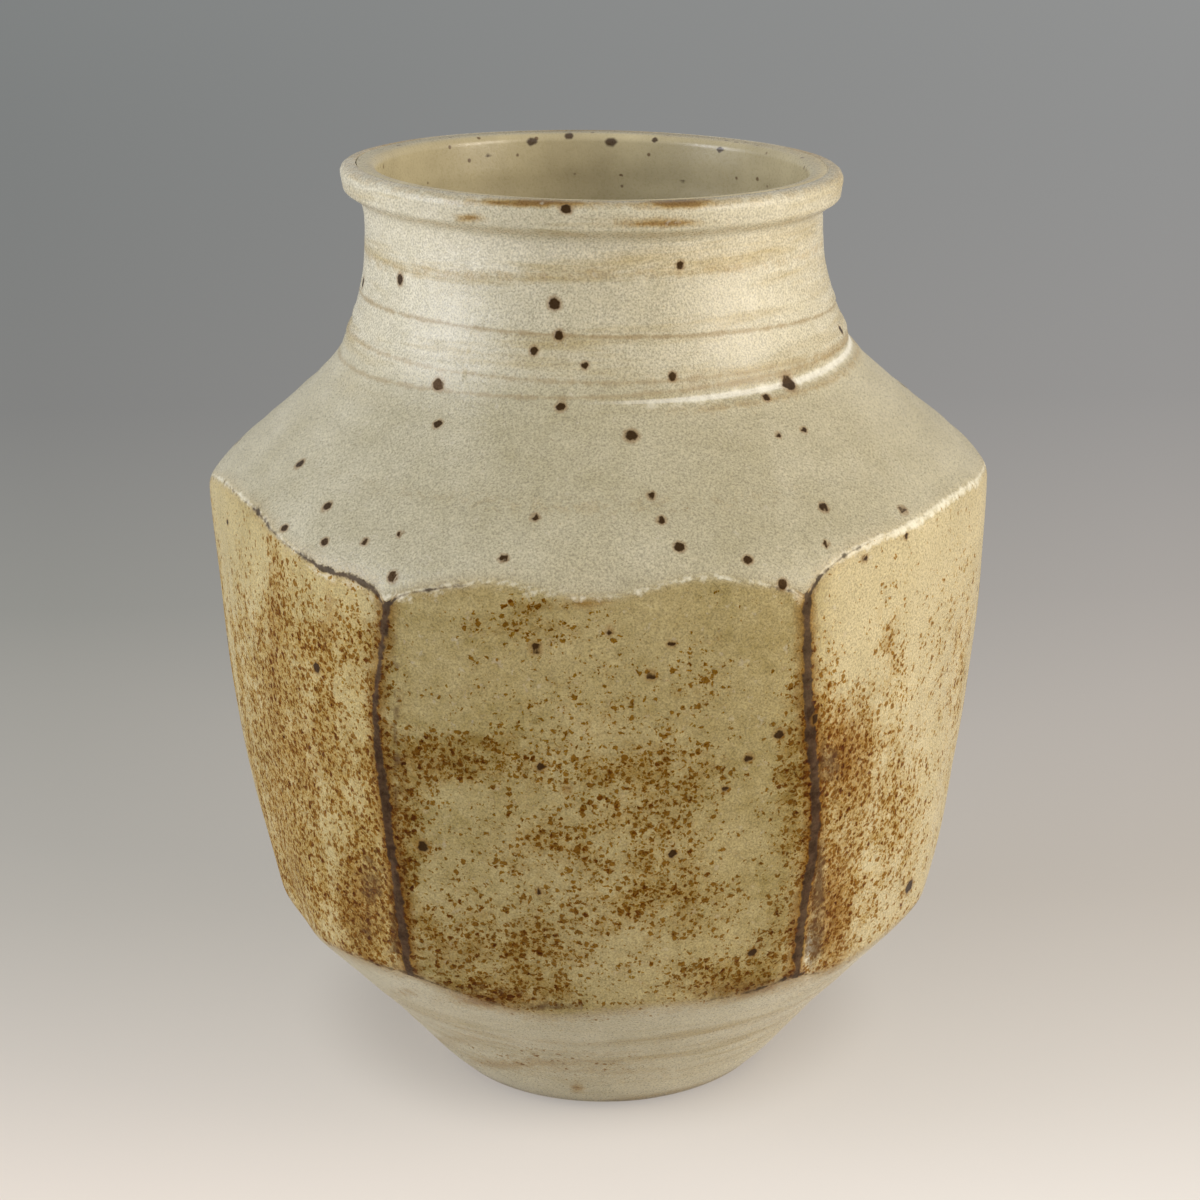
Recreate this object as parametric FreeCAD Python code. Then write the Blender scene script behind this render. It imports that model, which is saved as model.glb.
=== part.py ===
import FreeCAD, Part
import math
import os

# Six-sided stoneware jar with a thrown foot, shoulder and neck.
# Lengths are millimetres, angles are degrees, +Z is up and the jar stands on z = 0 over the origin.
# The front facet looks along -Y. Sizes over the glaze are the ones that a rule would measure.

# Whole jar, over the glaze
jar_height = 226.5
foot_radius = 40.6
lower_wall_lean = 40.4

# Round body as it left the wheel, before the six facets were cut
thrown_radius = 97.0
shoulder_lean = 48.1
shoulder_rounding = 14.0

# Neck: from the corner where the lines of shoulder and neck would cross, up to the top of the rim
neck_radius = 53.9
collar_height = 37.6
neck_straight_height = 5.2

# Rolled rim on top of the neck
rim_overhang = 5.4
rim_band_height = 6.1
rim_band_taper = 1.1
rim_underside_rise = 3.4
rim_underside_rounding = 3.0
rim_lower_rounding = 1.2
rim_upper_rounding = 2.2

# Facets: each is a barrel wall, bowed a little in plan and in height
facet_count = 6
facet_cut_depth = 6.7
facet_widest_drop = 4.2
facet_foot_tuck = 11.2
facet_plan_setback = 50.0

# Throwing groove at the root of the neck, placed as a share of the neck's sweep from its upper end
groove_place_share = 0.81
groove_radius = 1.1
groove_stand_off = 0.5

# Walls, glaze included
lower_wall = 7.0
facet_wall = 7.5
shoulder_wall = 6.5
floor_thickness = 6.0
neck_wall = 4.6
mouth_flare = 0.7
crest_setback = 4.8
lip_fall = 0.6
lip_inner_rounding = 2.2

# Roundings of the hollow
floor_rounding = 25.0
heel_rounding = 15.0
heel_straight = 2.0
inner_shoulder_rounding = 12.0
inner_neck_rounding = 30.0

# Turned foot
foot_ring_width = 7.0
foot_recess_depth = 3.5
foot_recess_taper = 1.2
foot_edge_bevel = 0.9

# Glazes, and the slip that joins the thrown sections
glaze_thickness = 0.8
liner_thickness = 0.6
glaze_line_height = 1.6
slip_thickness = 0.8

# How far a cutting body runs past what it cuts
overrun = 10.0

# Slopes of the two straight walls, as radius gained or lost for each unit of height
lower_slope = math.tan(math.radians(lower_wall_lean))
shoulder_slope = math.tan(math.radians(shoulder_lean))

# Heights of the shoulder's two ends, worked down from the rim
neck_root_height = jar_height - collar_height
shoulder_height = neck_root_height - (thrown_radius - neck_radius) / shoulder_slope

# Middle line of a facet: its widest point, its foot on the lower wall, and the arc through both
facet_middle_radius = thrown_radius - facet_cut_depth
facet_widest_height = shoulder_height - facet_widest_drop
facet_foot_height = (facet_middle_radius - facet_foot_tuck - foot_radius) / lower_slope
facet_rise = facet_widest_height - facet_foot_height
facet_rise_radius = (facet_rise ** 2 + facet_foot_tuck ** 2) / (2 * facet_foot_tuck)
facet_arc_radius_centre = facet_middle_radius - facet_rise_radius

# Radii of the rim and of the neck's bore
rim_radius = neck_radius + rim_overhang
crest_radius = rim_radius - crest_setback
neck_inner_radius = neck_radius - neck_wall
mouth_radius = neck_inner_radius + mouth_flare

# Sweep that joins shoulder and neck, its centre, and the groove's place on it
underside_lean = math.atan2(rim_overhang - rim_band_taper, rim_underside_rise)
underside_tangent = rim_underside_rounding * math.tan(underside_lean / 2)
rim_zone_height = rim_band_height + rim_underside_rise + underside_tangent
sweep_tangent = collar_height - rim_zone_height - neck_straight_height
neck_sweep = sweep_tangent / math.tan(math.radians(shoulder_lean / 2))
sweep_centre_radius = neck_radius + neck_sweep
sweep_centre_height = neck_root_height + sweep_tangent
groove_turn = math.radians(shoulder_lean) * groove_place_share
groove_reach = neck_sweep - groove_stand_off
groove_ring_radius = sweep_centre_radius - groove_reach * math.cos(groove_turn)
groove_height = sweep_centre_height - groove_reach * math.sin(groove_turn)

# The thrown sections were joined at the widest level and under the groove
belly_joint_height = facet_widest_height
neck_joint_height = groove_height


def section_point(radius, height):
    """Point of the half section that is turned about the jar's axis."""
    return FreeCAD.Vector(radius, 0, height)


def line(start, end):
    return Part.LineSegment(start, end).toShape()


def rounded_outline(corners):
    """Closed wire through (radius, height, rounding) corners, each rounding a tangent arc."""
    count = len(corners)
    points = [section_point(radius, height) for radius, height, rounding in corners]
    starts, ends, arcs = [], [], []
    for index in range(count):
        corner = points[index]
        rounding = corners[index][2]
        come = (points[index - 1] - corner).normalize()
        go = (points[(index + 1) % count] - corner).normalize()
        if rounding == 0:
            starts.append(corner)
            ends.append(corner)
            arcs.append(None)
            continue
        half_angle = come.getAngle(go) / 2
        tangent_length = rounding / math.tan(half_angle)
        depth = rounding / math.sin(half_angle) - rounding
        starts.append(corner + come * tangent_length)
        ends.append(corner + go * tangent_length)
        middle = corner + (come + go).normalize() * depth
        arcs.append(Part.Arc(starts[-1], middle, ends[-1]).toShape())
    edges = []
    for index in range(count):
        if arcs[index]:
            edges.append(arcs[index])
        edges.append(line(ends[index], starts[(index + 1) % count]))
    return Part.Wire(edges)


def turned(outline, growth):
    """Solid turned from an outline that is first grown, or shrunk where growth is negative."""
    face = Part.Face(outline)
    if growth != 0:
        face = face.makeOffset2D(growth)
    half_plane = rounded_outline([
        (0, -overrun, 0),
        (thrown_radius + overrun, -overrun, 0),
        (thrown_radius + overrun, jar_height + overrun, 0),
        (0, jar_height + overrun, 0),
    ])
    half = face.common(Part.Face(half_plane))
    return half.Faces[0].revolve(section_point(0, 0), FreeCAD.Vector(0, 0, 1), 360).Solids[0]


def upright_cylinder(radius, low, high):
    return Part.makeCylinder(radius, high - low, section_point(0, low))


def slab(low, high):
    """Level slice of space, wide enough to hold the whole jar."""
    return upright_cylinder(thrown_radius + overrun, low, high)


def lower_wall_radius(height):
    """Radius of the turned lower wall, a straight cone."""
    return foot_radius + lower_slope * height


def shoulder_line_height(radius, inward):
    """Height of the shoulder cone at a radius, moved inward square to its surface."""
    shift = inward / math.cos(math.radians(shoulder_lean))
    return neck_root_height + (neck_radius - shift - radius) / shoulder_slope


def outer_outline():
    """Half section of the jar's outside as thrown, from below the foot to the top of the rim."""
    band_foot_height = jar_height - rim_band_height
    band_foot_radius = rim_radius - rim_band_taper
    below_foot = -overrun - glaze_thickness
    wall_start_height = (thrown_radius - foot_radius) / lower_slope
    return rounded_outline([
        (-overrun, below_foot, 0),
        (lower_wall_radius(below_foot), below_foot, 0),
        (thrown_radius, wall_start_height, 0),
        (thrown_radius, shoulder_height, shoulder_rounding),
        (neck_radius, neck_root_height, neck_sweep),
        (neck_radius, band_foot_height - rim_underside_rise, rim_underside_rounding),
        (band_foot_radius, band_foot_height, rim_lower_rounding),
        (rim_radius, jar_height, rim_upper_rounding),
        (-overrun, jar_height, 0),
    ])


def cavity_outline():
    """Half section of the glazed hollow, from the floor to the crest of the lip."""
    floor_height = foot_recess_depth + floor_thickness
    wall_shift = lower_wall / math.cos(math.radians(lower_wall_lean))
    inner_rise_radius = facet_rise_radius - facet_wall

    # The inner cone meets the inner belly arc where a line crosses a circle: one quadratic
    cone_offset = foot_radius - wall_shift - facet_arc_radius_centre
    square_term = lower_slope ** 2 + 1
    half_linear_term = lower_slope * cone_offset - facet_widest_height
    constant_term = cone_offset ** 2 + facet_widest_height ** 2 - inner_rise_radius ** 2
    root = math.sqrt(half_linear_term ** 2 - square_term * constant_term)
    heel_height = (root - half_linear_term) / square_term
    heel_radius = lower_wall_radius(heel_height) - wall_shift

    # The belly arc is rounded from the corner where its end tangents meet, and leaves the heel's
    # rounding a short straight
    half_sweep = math.asin((facet_widest_height - heel_height) / inner_rise_radius) / 2
    belly_run = inner_rise_radius * math.tan(half_sweep)
    belly_radius = facet_arc_radius_centre + inner_rise_radius
    belly_height = facet_widest_height - belly_run
    heel_turn = math.radians(lower_wall_lean) - 2 * half_sweep
    heel_tangent = heel_rounding * math.tan(heel_turn / 2)
    belly_rounding = (belly_run - heel_tangent - heel_straight) / math.tan(half_sweep)

    return rounded_outline([
        (-overrun, floor_height, 0),
        (lower_wall_radius(floor_height) - wall_shift, floor_height, floor_rounding),
        (heel_radius, heel_height, heel_rounding),
        (belly_radius, belly_height, belly_rounding),
        (belly_radius, shoulder_line_height(belly_radius, shoulder_wall), inner_shoulder_rounding),
        (neck_inner_radius, shoulder_line_height(neck_inner_radius, shoulder_wall), inner_neck_rounding),
        (mouth_radius, jar_height - lip_fall, lip_inner_rounding),
        (crest_radius, jar_height, 0),
        (crest_radius, jar_height + overrun, 0),
        (-overrun, jar_height + overrun, 0),
    ])


def facet_barrel(inset):
    """Large barrel whose near wall is one facet. Its axis stands behind the jar's own axis."""
    arc_radius = facet_rise_radius - inset
    arc_centre = facet_arc_radius_centre + facet_plan_setback
    low = -overrun
    high = jar_height + overrun
    arc_low = facet_foot_height - overrun
    arc_high = neck_root_height

    def wall(height):
        rise = height - facet_widest_height
        return section_point(arc_centre + math.sqrt(arc_radius ** 2 - rise ** 2), height)

    axis_low = section_point(0, low)
    axis_high = section_point(0, high)
    wall_low = section_point(wall(arc_low).x, low)
    wall_high = section_point(wall(arc_high).x, high)
    profile = Part.Wire([
        line(axis_low, wall_low),
        line(wall_low, wall(arc_low)),
        Part.Arc(wall(arc_low), wall(facet_widest_height), wall(arc_high)).toShape(),
        line(wall(arc_high), wall_high),
        line(wall_high, axis_high),
        line(axis_high, axis_low),
    ])
    barrel = Part.Face(profile).revolve(axis_low, FreeCAD.Vector(0, 0, 1), 360).Solids[0]
    barrel.translate(FreeCAD.Vector(0, facet_plan_setback, 0))
    return barrel


def groove_ring(inset):
    """Round-bottomed throwing groove, centred just outside the sweep of the neck."""
    return Part.makeTorus(groove_ring_radius, groove_radius + inset, section_point(0, groove_height))


def faceted_block(inset):
    """Six-sided block that all the facet barrels share."""
    barrel = facet_barrel(inset)
    block = barrel
    for index in range(1, facet_count):
        turned_barrel = barrel.copy()
        turned_barrel.rotate(section_point(0, 0), FreeCAD.Vector(0, 0, 1), index * 360 / facet_count)
        block = block.common(turned_barrel)
    return block


def outer_form(inset):
    """Outside of the jar as one solid block, with facets cut, shrunk by an inset."""
    form = turned(outer_outline(), -inset).cut(groove_ring(inset))
    form = form.common(faceted_block(inset))
    return form.common(slab(0, jar_height)).Solids[0]


def foot_recess():
    """Shallow hollow that turning leaves inside the foot ring."""
    ring_inner_radius = foot_radius - foot_ring_width
    roof_radius = ring_inner_radius - foot_recess_taper
    return Part.makeCone(ring_inner_radius, roof_radius, foot_recess_depth)


def foot_bevel(form):
    """The form with the outer edge of its standing ring bevelled."""
    standing_edges = [
        edge for edge in form.Edges
        if edge.BoundBox.ZMax < glaze_line_height and edge.BoundBox.XMax > foot_radius - foot_ring_width / 2
    ]
    return form.makeChamfer(foot_edge_bevel, standing_edges)


def clay_wall():
    """Whole fired clay wall: faceted outside, round hollow inside, turned foot below."""
    body = outer_form(glaze_thickness)
    body = foot_bevel(body)
    body = body.cut(turned(cavity_outline(), liner_thickness))
    return body.cut(foot_recess()).Solids[0]


def outer_glaze():
    """Skin of glaze from just above the foot to the crest of the rim."""
    skin = outer_form(0).cut(outer_form(glaze_thickness))
    mouth_plug = upright_cylinder(crest_radius, jar_height - rim_band_height, jar_height + overrun)
    skin = skin.cut(mouth_plug)
    return skin.common(slab(glaze_line_height, jar_height + overrun)).Solids[0]


def liner_glaze():
    """Glaze that was poured inside, from the floor over the lip to the crest of the rim."""
    skin = turned(cavity_outline(), liner_thickness).cut(turned(cavity_outline(), 0))
    rim_zone = slab(jar_height - rim_band_height, jar_height + overrun)
    mouth_plug = upright_cylinder(crest_radius, 0, jar_height + overrun)
    skin = skin.cut(rim_zone.cut(mouth_plug))
    return skin.common(slab(0, jar_height)).Solids[0]


def joined_sections():
    """The thrown sections of the clay wall, and the slip ring in each joint."""
    wall = clay_wall()
    half_slip = slip_thickness / 2
    levels = {
        "lower_bowl": (0, belly_joint_height - half_slip),
        "belly_joint_slip": (belly_joint_height - half_slip, belly_joint_height + half_slip),
        "upper_bowl": (belly_joint_height + half_slip, neck_joint_height - half_slip),
        "neck_joint_slip": (neck_joint_height - half_slip, neck_joint_height + half_slip),
        "neck": (neck_joint_height + half_slip, jar_height),
    }
    return {name: wall.common(slab(low, high)) for name, (low, high) in levels.items()}


def main():
    os.makedirs("parts", exist_ok=True)
    pieces = joined_sections()
    pieces["outer_glaze"] = outer_glaze()
    pieces["liner_glaze"] = liner_glaze()
    for name, shape in pieces.items():
        shape.exportStep("parts/" + name + ".step")
        box = shape.BoundBox
        print(name, len(shape.Solids), "solid", shape.isValid(), "volume %.0f" % shape.Volume,
              "z %.2f to %.2f" % (box.ZMin, box.ZMax), "width %.2f" % box.XLength)


main()
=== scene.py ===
# %% [markdown]
# # A faceted stoneware jar
# The jar was thrown round on a wheel, cut into six tall facets while the clay was leather hard, and
# dipped in an oatmeal glaze that breaks brown on every edge. The solid model gives its sizes. This
# scene gives it the hand: wavy cuts, throwing lines, iron spots and speckle. All of it is worked out
# as whole arrays of numbers.

# %% Open the solid model
import bpy
import math
import mathutils
import numpy as np
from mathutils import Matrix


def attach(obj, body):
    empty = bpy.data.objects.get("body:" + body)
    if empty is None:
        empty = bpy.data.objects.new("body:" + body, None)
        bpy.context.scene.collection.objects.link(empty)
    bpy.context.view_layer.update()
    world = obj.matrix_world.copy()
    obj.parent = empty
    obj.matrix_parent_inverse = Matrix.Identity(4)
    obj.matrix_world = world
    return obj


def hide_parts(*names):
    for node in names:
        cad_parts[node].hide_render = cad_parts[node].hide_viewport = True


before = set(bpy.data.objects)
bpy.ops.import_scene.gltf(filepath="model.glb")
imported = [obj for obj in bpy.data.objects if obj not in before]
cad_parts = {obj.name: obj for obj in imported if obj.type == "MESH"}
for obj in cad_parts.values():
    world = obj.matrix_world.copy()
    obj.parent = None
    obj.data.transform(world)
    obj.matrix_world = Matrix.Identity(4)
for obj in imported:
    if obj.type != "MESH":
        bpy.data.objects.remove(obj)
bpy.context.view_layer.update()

# %% [markdown]
# ## Camera
# The camera stands in front of the jar and looks down on it by 18 degrees through a longish lens.
# It comes first because some marks are easiest to place by where a viewer sees them. The same
# numbers that set the camera also tell where any point of the jar lands in the picture.

# %% Camera place and turn, and where a point is seen
MM = 0.001
FRAME_PX = 1200
EYE = np.array([-0.037, -588.42, 313.14])
LOOK_DOWN = 0.319447
TILT = -0.0168394
LENS_PX = 2497.22
SENSOR = 36.0

rightward = np.array([1.0, 0.0, 0.0])
forward = np.array([0.0, math.cos(LOOK_DOWN), -math.sin(LOOK_DOWN)])
upward = np.array([0.0, math.sin(LOOK_DOWN), math.cos(LOOK_DOWN)])
camera_x = math.cos(TILT) * rightward + math.sin(TILT) * upward
camera_y = math.cos(TILT) * upward - math.sin(TILT) * rightward


def seen_at(place):
    """Column and row of the picture where points (in mm) are seen: sideways over depth, times lens."""
    away = place - EYE
    depth = away @ forward
    across = FRAME_PX / 2 + LENS_PX * (away @ camera_x) / depth
    down = FRAME_PX / 2 - LENS_PX * (away @ camera_y) / depth
    return across, down


camera = bpy.data.objects.new("photo_camera", bpy.data.cameras.new("photo_camera"))
bpy.context.scene.collection.objects.link(camera)
camera.data.sensor_width = SENSOR
camera.data.lens = LENS_PX / FRAME_PX * SENSOR
camera.data.clip_end = 20
turn = np.eye(4)
turn[:3, 0], turn[:3, 1], turn[:3, 2], turn[:3, 3] = camera_x, camera_y, -forward, EYE * MM
camera.matrix_world = mathutils.Matrix(turn.tolist())
bpy.context.scene.camera = camera
print("camera lens %.1f mm" % camera.data.lens)

# %% [markdown]
# ## Curves given as tables
# A potter's profile is never a neat formula, so each curve starts as a short table of places and
# values. Straight joins would show as rings on the jar, so the table is blurred with a bell curve,
# as a soft rib would smooth the clay.

# %% Smooth curves from short tables


def soft_curve(pairs, spread, wraps=False):
    """Function that joins (place, value) pairs by lines, then blurs them with a bell of that spread."""
    places, values = np.array(pairs, dtype=float).T
    step = spread / 4
    if wraps:
        places = np.concatenate([places - 360, places, places + 360])
        values = np.tile(values, 3)
    fine = np.arange(places[0], places[-1] + step, step)
    bell = np.exp(-0.5 * (np.arange(-16, 17) / 4) ** 2)
    bell /= bell.sum()
    blurred = np.convolve(np.pad(np.interp(fine, places, values), 16, mode="edge"), bell, mode="valid")
    return lambda place: np.interp(place, fine, blurred)


def smooth_step(value, low, high):
    """0 below low, 1 above high, and an S-shaped rise between: 3 t squared minus 2 t cubed."""
    t = np.clip((value - low) / (high - low), 0, 1)
    return t * t * (3 - 2 * t)


def bump(value, width):
    """Bell that is 1 at zero: e to the minus (value over width) squared."""
    return np.exp(-(value / width) ** 2)


def soft_minimum(a, b, blend):
    """The lower of a and b, with the corner between them rounded off over the blend distance."""
    near = np.clip(1 - np.abs(a - b) / blend, 0, 1)
    return np.minimum(a, b) - blend * near ** 2 / 4


print("ready to blur tables into curves")

# %% Heights and radii of the round body, in mm
thrown_radius = soft_curve([
    (-12, 29.5), (0, 39.9), (3, 42.7), (6, 45.6), (10, 49.0), (15, 52.9), (20, 56.9), (26, 61.9),
    (32, 67.4), (38, 72.6), (44, 77.9), (50, 83.1), (60, 91.6), (67, 97), (110, 97.2), (143, 97.2),
    (149, 96.6), (154, 93.6), (158, 89.5), (162, 85.0), (166, 80.0), (170, 75.3), (174, 70.6),
    (178, 66.2), (181, 63.4), (184, 61.2), (187, 59.7), (190, 58.5), (194, 57.1), (198, 55.9),
    (203, 54.7), (208, 54.0), (212, 53.9), (216, 54.0), (222, 54.0),
], 1.1)
print("round body is %.1f mm in radius at the belly" % thrown_radius(120))

# %% [markdown]
# ## Facets
# A facet was sliced off with a wire and then pushed out again from inside, so it is bowed both ways.
# Its plan is an arc struck from 50 mm behind the jar's axis, and its rise is an arc of 459 mm. Six
# corner lines wander a little from top to bottom. Columns of the mesh are laid exactly on those
# lines, because a fold that runs along mesh edges stays crisp.

# %% Where the six corner lines run, as azimuth against height
corner_lines = [
    soft_curve([
        (40, -31.6), (54, -31.5), (73, -31.2), (101, -31.1), (114, -31.1), (123, -30.8), (128, -30.1),
        (137, -29.0), (146, -28.1), (152, -27.9), (190, -29.0),
    ], 1.5),
    soft_curve([
        (40, 31.9), (52, 31.5), (61, 31.0), (72, 30.9), (80, 31.0), (90, 30.9), (97, 30.5), (107, 29.5),
        (117, 28.1), (127, 27.5), (145, 27.0), (152, 26.9), (190, 28.5),
    ], 1.5),
    soft_curve([(40, 89.0), (80, 88.2), (120, 88.8), (150, 88.0), (190, 89.0)], 4),
    soft_curve([(40, 151.5), (80, 150.4), (120, 149.2), (150, 150.0), (190, 150.0)], 4),
    soft_curve([(40, 209.0), (80, 209.8), (120, 210.8), (150, 210.0), (190, 210.0)], 4),
    soft_curve([(40, 270.6), (80, 271.4), (120, 270.8), (150, 271.6), (190, 271.0)], 4),
]
corner_stand_out = [
    soft_curve([(45, -0.4), (60, 0.0), (100, 1.0), (140, 1.9), (160, 1.9)], 3),
    soft_curve([(45, -0.2), (60, 0.0), (100, 0.8), (140, 1.8), (160, 1.8)], 3),
    soft_curve([(45, -1.2), (72, -0.8), (90, -0.3), (110, -0.8), (150, -0.6)], 3),
    soft_curve([(45, -0.4), (100, 0.3), (150, 0.5)], 3),
    soft_curve([(45, 0.2), (100, -0.2), (150, 0.9)], 3),
    soft_curve([(45, -1.2), (72, -0.8), (90, -0.3), (110, -0.8), (150, -0.6)], 3),
]

FACETS = 6
columns_per_facet = [80, 64, 64, 64, 80, 108]
column_facet = np.repeat(np.arange(FACETS), columns_per_facet)
even_share = np.concatenate([np.arange(count) / count for count in columns_per_facet])
column_share = even_share - 0.3 * np.sin(2 * np.pi * even_share) / (2 * np.pi)
COLUMNS = len(column_facet)


def column_azimuth(height):
    """Azimuth of every column at each height: a share of the way from one corner line to the next."""
    lines = np.array([line(height) for line in corner_lines])
    lines = np.concatenate([lines, lines[:1] + 360])
    start = np.take_along_axis(lines, np.broadcast_to(column_facet, height.shape)[None], axis=0)[0]
    end = np.take_along_axis(lines, np.broadcast_to(column_facet + 1, height.shape)[None], axis=0)[0]
    return start + column_share * (end - start)


print(FACETS, "corner lines and", COLUMNS, "columns")

# %% How far each cut strays from the regular barrel wall, in mm against azimuth
top_stray = soft_curve([
    (-90, 0.4), (-76, -0.4), (-66, 0.1), (-58, 0.6), (-52, 2.0), (-46, 2.6), (-39, 2.5), (-34, 1.1),
    (-31, 0.6), (-28, 0.3), (-23, 1.2), (-18, 1.7), (-12, 0.8), (0, 0.2), (12, 0.8), (18, 1.6), (23, 1.2),
    (28, 0.3), (33, -0.1), (37, 0.2), (41, 0.7), (46, 1.4), (53, 1.5), (60, 1.2), (67, 1.4), (76, 1.5),
    (90, 0.2), (110, 0.8), (128, -0.6), (150, 0.3), (172, 1.2), (190, -0.5), (212, 0.4), (236, 1.0),
    (250, -0.6),
], 1.4, wraps=True)
foot_stray = soft_curve([
    (-90, -0.2), (-75, 1.6), (-70, -0.4), (-60, 1.8), (-54, 3.4), (-44, 3.4), (-36, 1.8), (-30, 1.0),
    (-26, 0.6), (-20, -0.4), (-11, -1.6), (-4, 0.2), (7, 1.6), (15, 0.6), (22, -0.8), (30, -0.8),
    (40, -1.8), (52, 1.4), (65, 3.4), (78, 1.2), (90, -0.2), (105, 1.4), (125, -0.8), (150, 0.4),
    (170, 1.6), (195, -0.8), (215, 0.8), (240, 2.0), (256, -0.6),
], 1.8, wraps=True)


def facet_radius(azimuth, height):
    """Radius of the cut faces: minus e cos p plus the root of ((a + e) squared minus (e sin p) squared),
    where a is the facet's middle radius at that height, e the setback and p the angle off its middle."""
    setback, widest, widest_height, rise = 50.0, 90.3, 146.0, 459.0
    middle = widest - (rise - np.sqrt(rise ** 2 - (height - widest_height) ** 2))
    off_corner = 60 * np.minimum(column_share, 1 - column_share)
    angle = np.radians(30 - np.sqrt(off_corner ** 2 + 0.35 ** 2))
    plain = -setback * np.cos(angle) + np.sqrt((middle + setback) ** 2 - (setback * np.sin(angle)) ** 2)
    stand_out = np.array([line(height) for line in corner_stand_out])
    stand_out = np.concatenate([stand_out, stand_out[:1]])
    start = np.take_along_axis(stand_out, np.broadcast_to(column_facet, height.shape)[None], axis=0)[0]
    end = np.take_along_axis(stand_out, np.broadcast_to(column_facet + 1, height.shape)[None], axis=0)[0]
    stray = top_stray(azimuth) * smooth_step(height, 95, 150)
    stray = stray + foot_stray(azimuth) * (1 - smooth_step(height, 50, 105))
    return plain + start * (1 - column_share) ** 3 + end * column_share ** 3 + stray


print("cuts are ready")

# %% [markdown]
# ## Throwing lines
# A finger and a rib left lines on the neck. Each climbs a little as it goes round. One at the root
# of the neck is a real groove that the glaze filled with white. They are tables of height against
# azimuth, and both the shape and the colour read them.

# %% Lines round the neck, as height against azimuth
neck_band = soft_curve([
    (-180, 208), (-90, 207), (-54, 207.6), (-22, 209.4), (1, 210.8), (25, 210.2), (60, 209.6), (180, 208),
], 4)
spiral_line = soft_curve([
    (-180, 199), (-73, 198.6), (-38, 198.4), (-8, 197.6), (24, 196.3), (54, 194.9), (70, 194.2),
    (180, 192),
], 4)
rib_line = soft_curve([
    (-180, 190), (-80, 190), (-49, 189.3), (-26, 188.6), (-8, 188.1), (9, 187.6), (60, 187), (180, 188),
], 4)
collar_line = soft_curve([
    (-180, 184), (-80, 183.8), (-53, 184.0), (-27, 184.7), (0, 184.9), (14, 185.4), (60, 186), (180, 186),
], 4)
groove_line = soft_curve([
    (-180, 184.6), (-60, 183.2), (-20, 183.4), (0, 183.8), (22, 183.4), (45, 183.2), (80, 184.2),
    (110, 185), (180, 184.6),
], 4)
groove_width = soft_curve([
    (-180, 0.5), (-60, 0.3), (-10, 0.4), (10, 0.7), (25, 1.0), (60, 1.2), (95, 1.2), (140, 0.7),
    (180, 0.5),
], 5)


FINGER_PITCH = 6.5


def thrown_relief(azimuth, height):
    """Ridges and lines left by throwing and turning, in mm out from the smooth wall."""
    relief = 0.16 * bump(height - neck_band(azimuth), 3.2)
    relief = relief + 0.30 * bump(height - spiral_line(azimuth) - 0.9, 0.9)
    relief = relief - 0.28 * bump(height - spiral_line(azimuth) + 0.4, 0.6)
    relief = relief + 0.45 * bump(height - rib_line(azimuth) - 1.2, 1.8)
    relief = relief - 0.25 * bump(height - rib_line(azimuth) + 0.6, 0.8)
    relief = relief + 0.25 * bump(height - collar_line(azimuth) - 1.0, 1.1)
    width = groove_width(azimuth)
    relief = relief - 0.42 * width * bump(height - groove_line(azimuth), width)
    on_shoulder = smooth_step(height, 152, 158) * (1 - smooth_step(height, 180, 184))
    spiral = 2 * np.pi * (height / FINGER_PITCH + azimuth / 360)
    relief = relief + on_shoulder * (0.10 * np.sin(spiral) + 0.06 * np.sin(2 * np.pi * height / 4.1))
    on_foot = 1 - smooth_step(height, 40, 48)
    rings = 0.06 * np.sin(2 * np.pi * height / 2.3) + 0.05 * np.sin(2 * np.pi * height / 3.7)
    return relief + on_foot * rings


def cut_relief(azimuth, height):
    """Slow waves that the wire left in a cut face, in mm: a few crossed sines."""
    wave = 0.16 * np.sin(height / 11 + azimuth / 9) + 0.12 * np.sin(height / 6.3 - azimuth / 5 + 1.0)
    return wave + 0.10 * np.sin(azimuth / 2.1 + height / 40)


edge_softness = soft_curve([
    (-90, 1.6), (-34, 1.3), (-27, 1.3), (-20, 2.4), (-12, 5.0), (0, 6.0), (12, 5.2), (20, 2.6), (26, 1.3),
    (34, 1.3), (90, 1.6), (180, 2.4),
], 3, wraps=True)


def body_radius(azimuth, height):
    """Radius of the glazed wall: the lower of the round body and the cut faces, softly joined."""
    round_body = thrown_radius(height) + thrown_relief(azimuth, height)
    cut = facet_radius(azimuth, height) + cut_relief(azimuth, height)
    blend = np.where(height > 100, edge_softness(azimuth), 1.5)
    return soft_minimum(round_body, cut, blend)


print("throwing lines are ready")

# %% Where each column passes from shoulder to facet, and from facet to foot
level_fine = np.arange(30.0, 170.0, 0.25)[:, None] + np.zeros(COLUMNS)
azimuth_fine = column_azimuth(level_fine)
cut_is_lower = facet_radius(azimuth_fine, level_fine) < thrown_radius(level_fine)
upper_half = level_fine[:, 0] > 110
facet_top = level_fine[upper_half][np.argmin(cut_is_lower[upper_half], axis=0), 0]
facet_foot = level_fine[~upper_half][np.argmax(cut_is_lower[~upper_half], axis=0), 0]
ring = np.array([0.25, 0.5, 0.25])
for _ in range(2):
    facet_top = ring[0] * np.roll(facet_top, 1) + ring[1] * facet_top + ring[2] * np.roll(facet_top, -1)
    facet_foot = ring[0] * np.roll(facet_foot, 1) + ring[1] * facet_foot + ring[2] * np.roll(facet_foot, -1)
print("facet tops %.1f to %.1f mm, feet %.1f to %.1f mm" % (
    facet_top.min(), facet_top.max(), facet_foot.min(), facet_foot.max()))

# %% [markdown]
# ## Rows of the mesh
# Rows sit closer together where the wall folds. They are also bent to follow the scalloped line
# where the cuts meet the shoulder and the foot, so that fold, too, runs along mesh edges.

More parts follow.
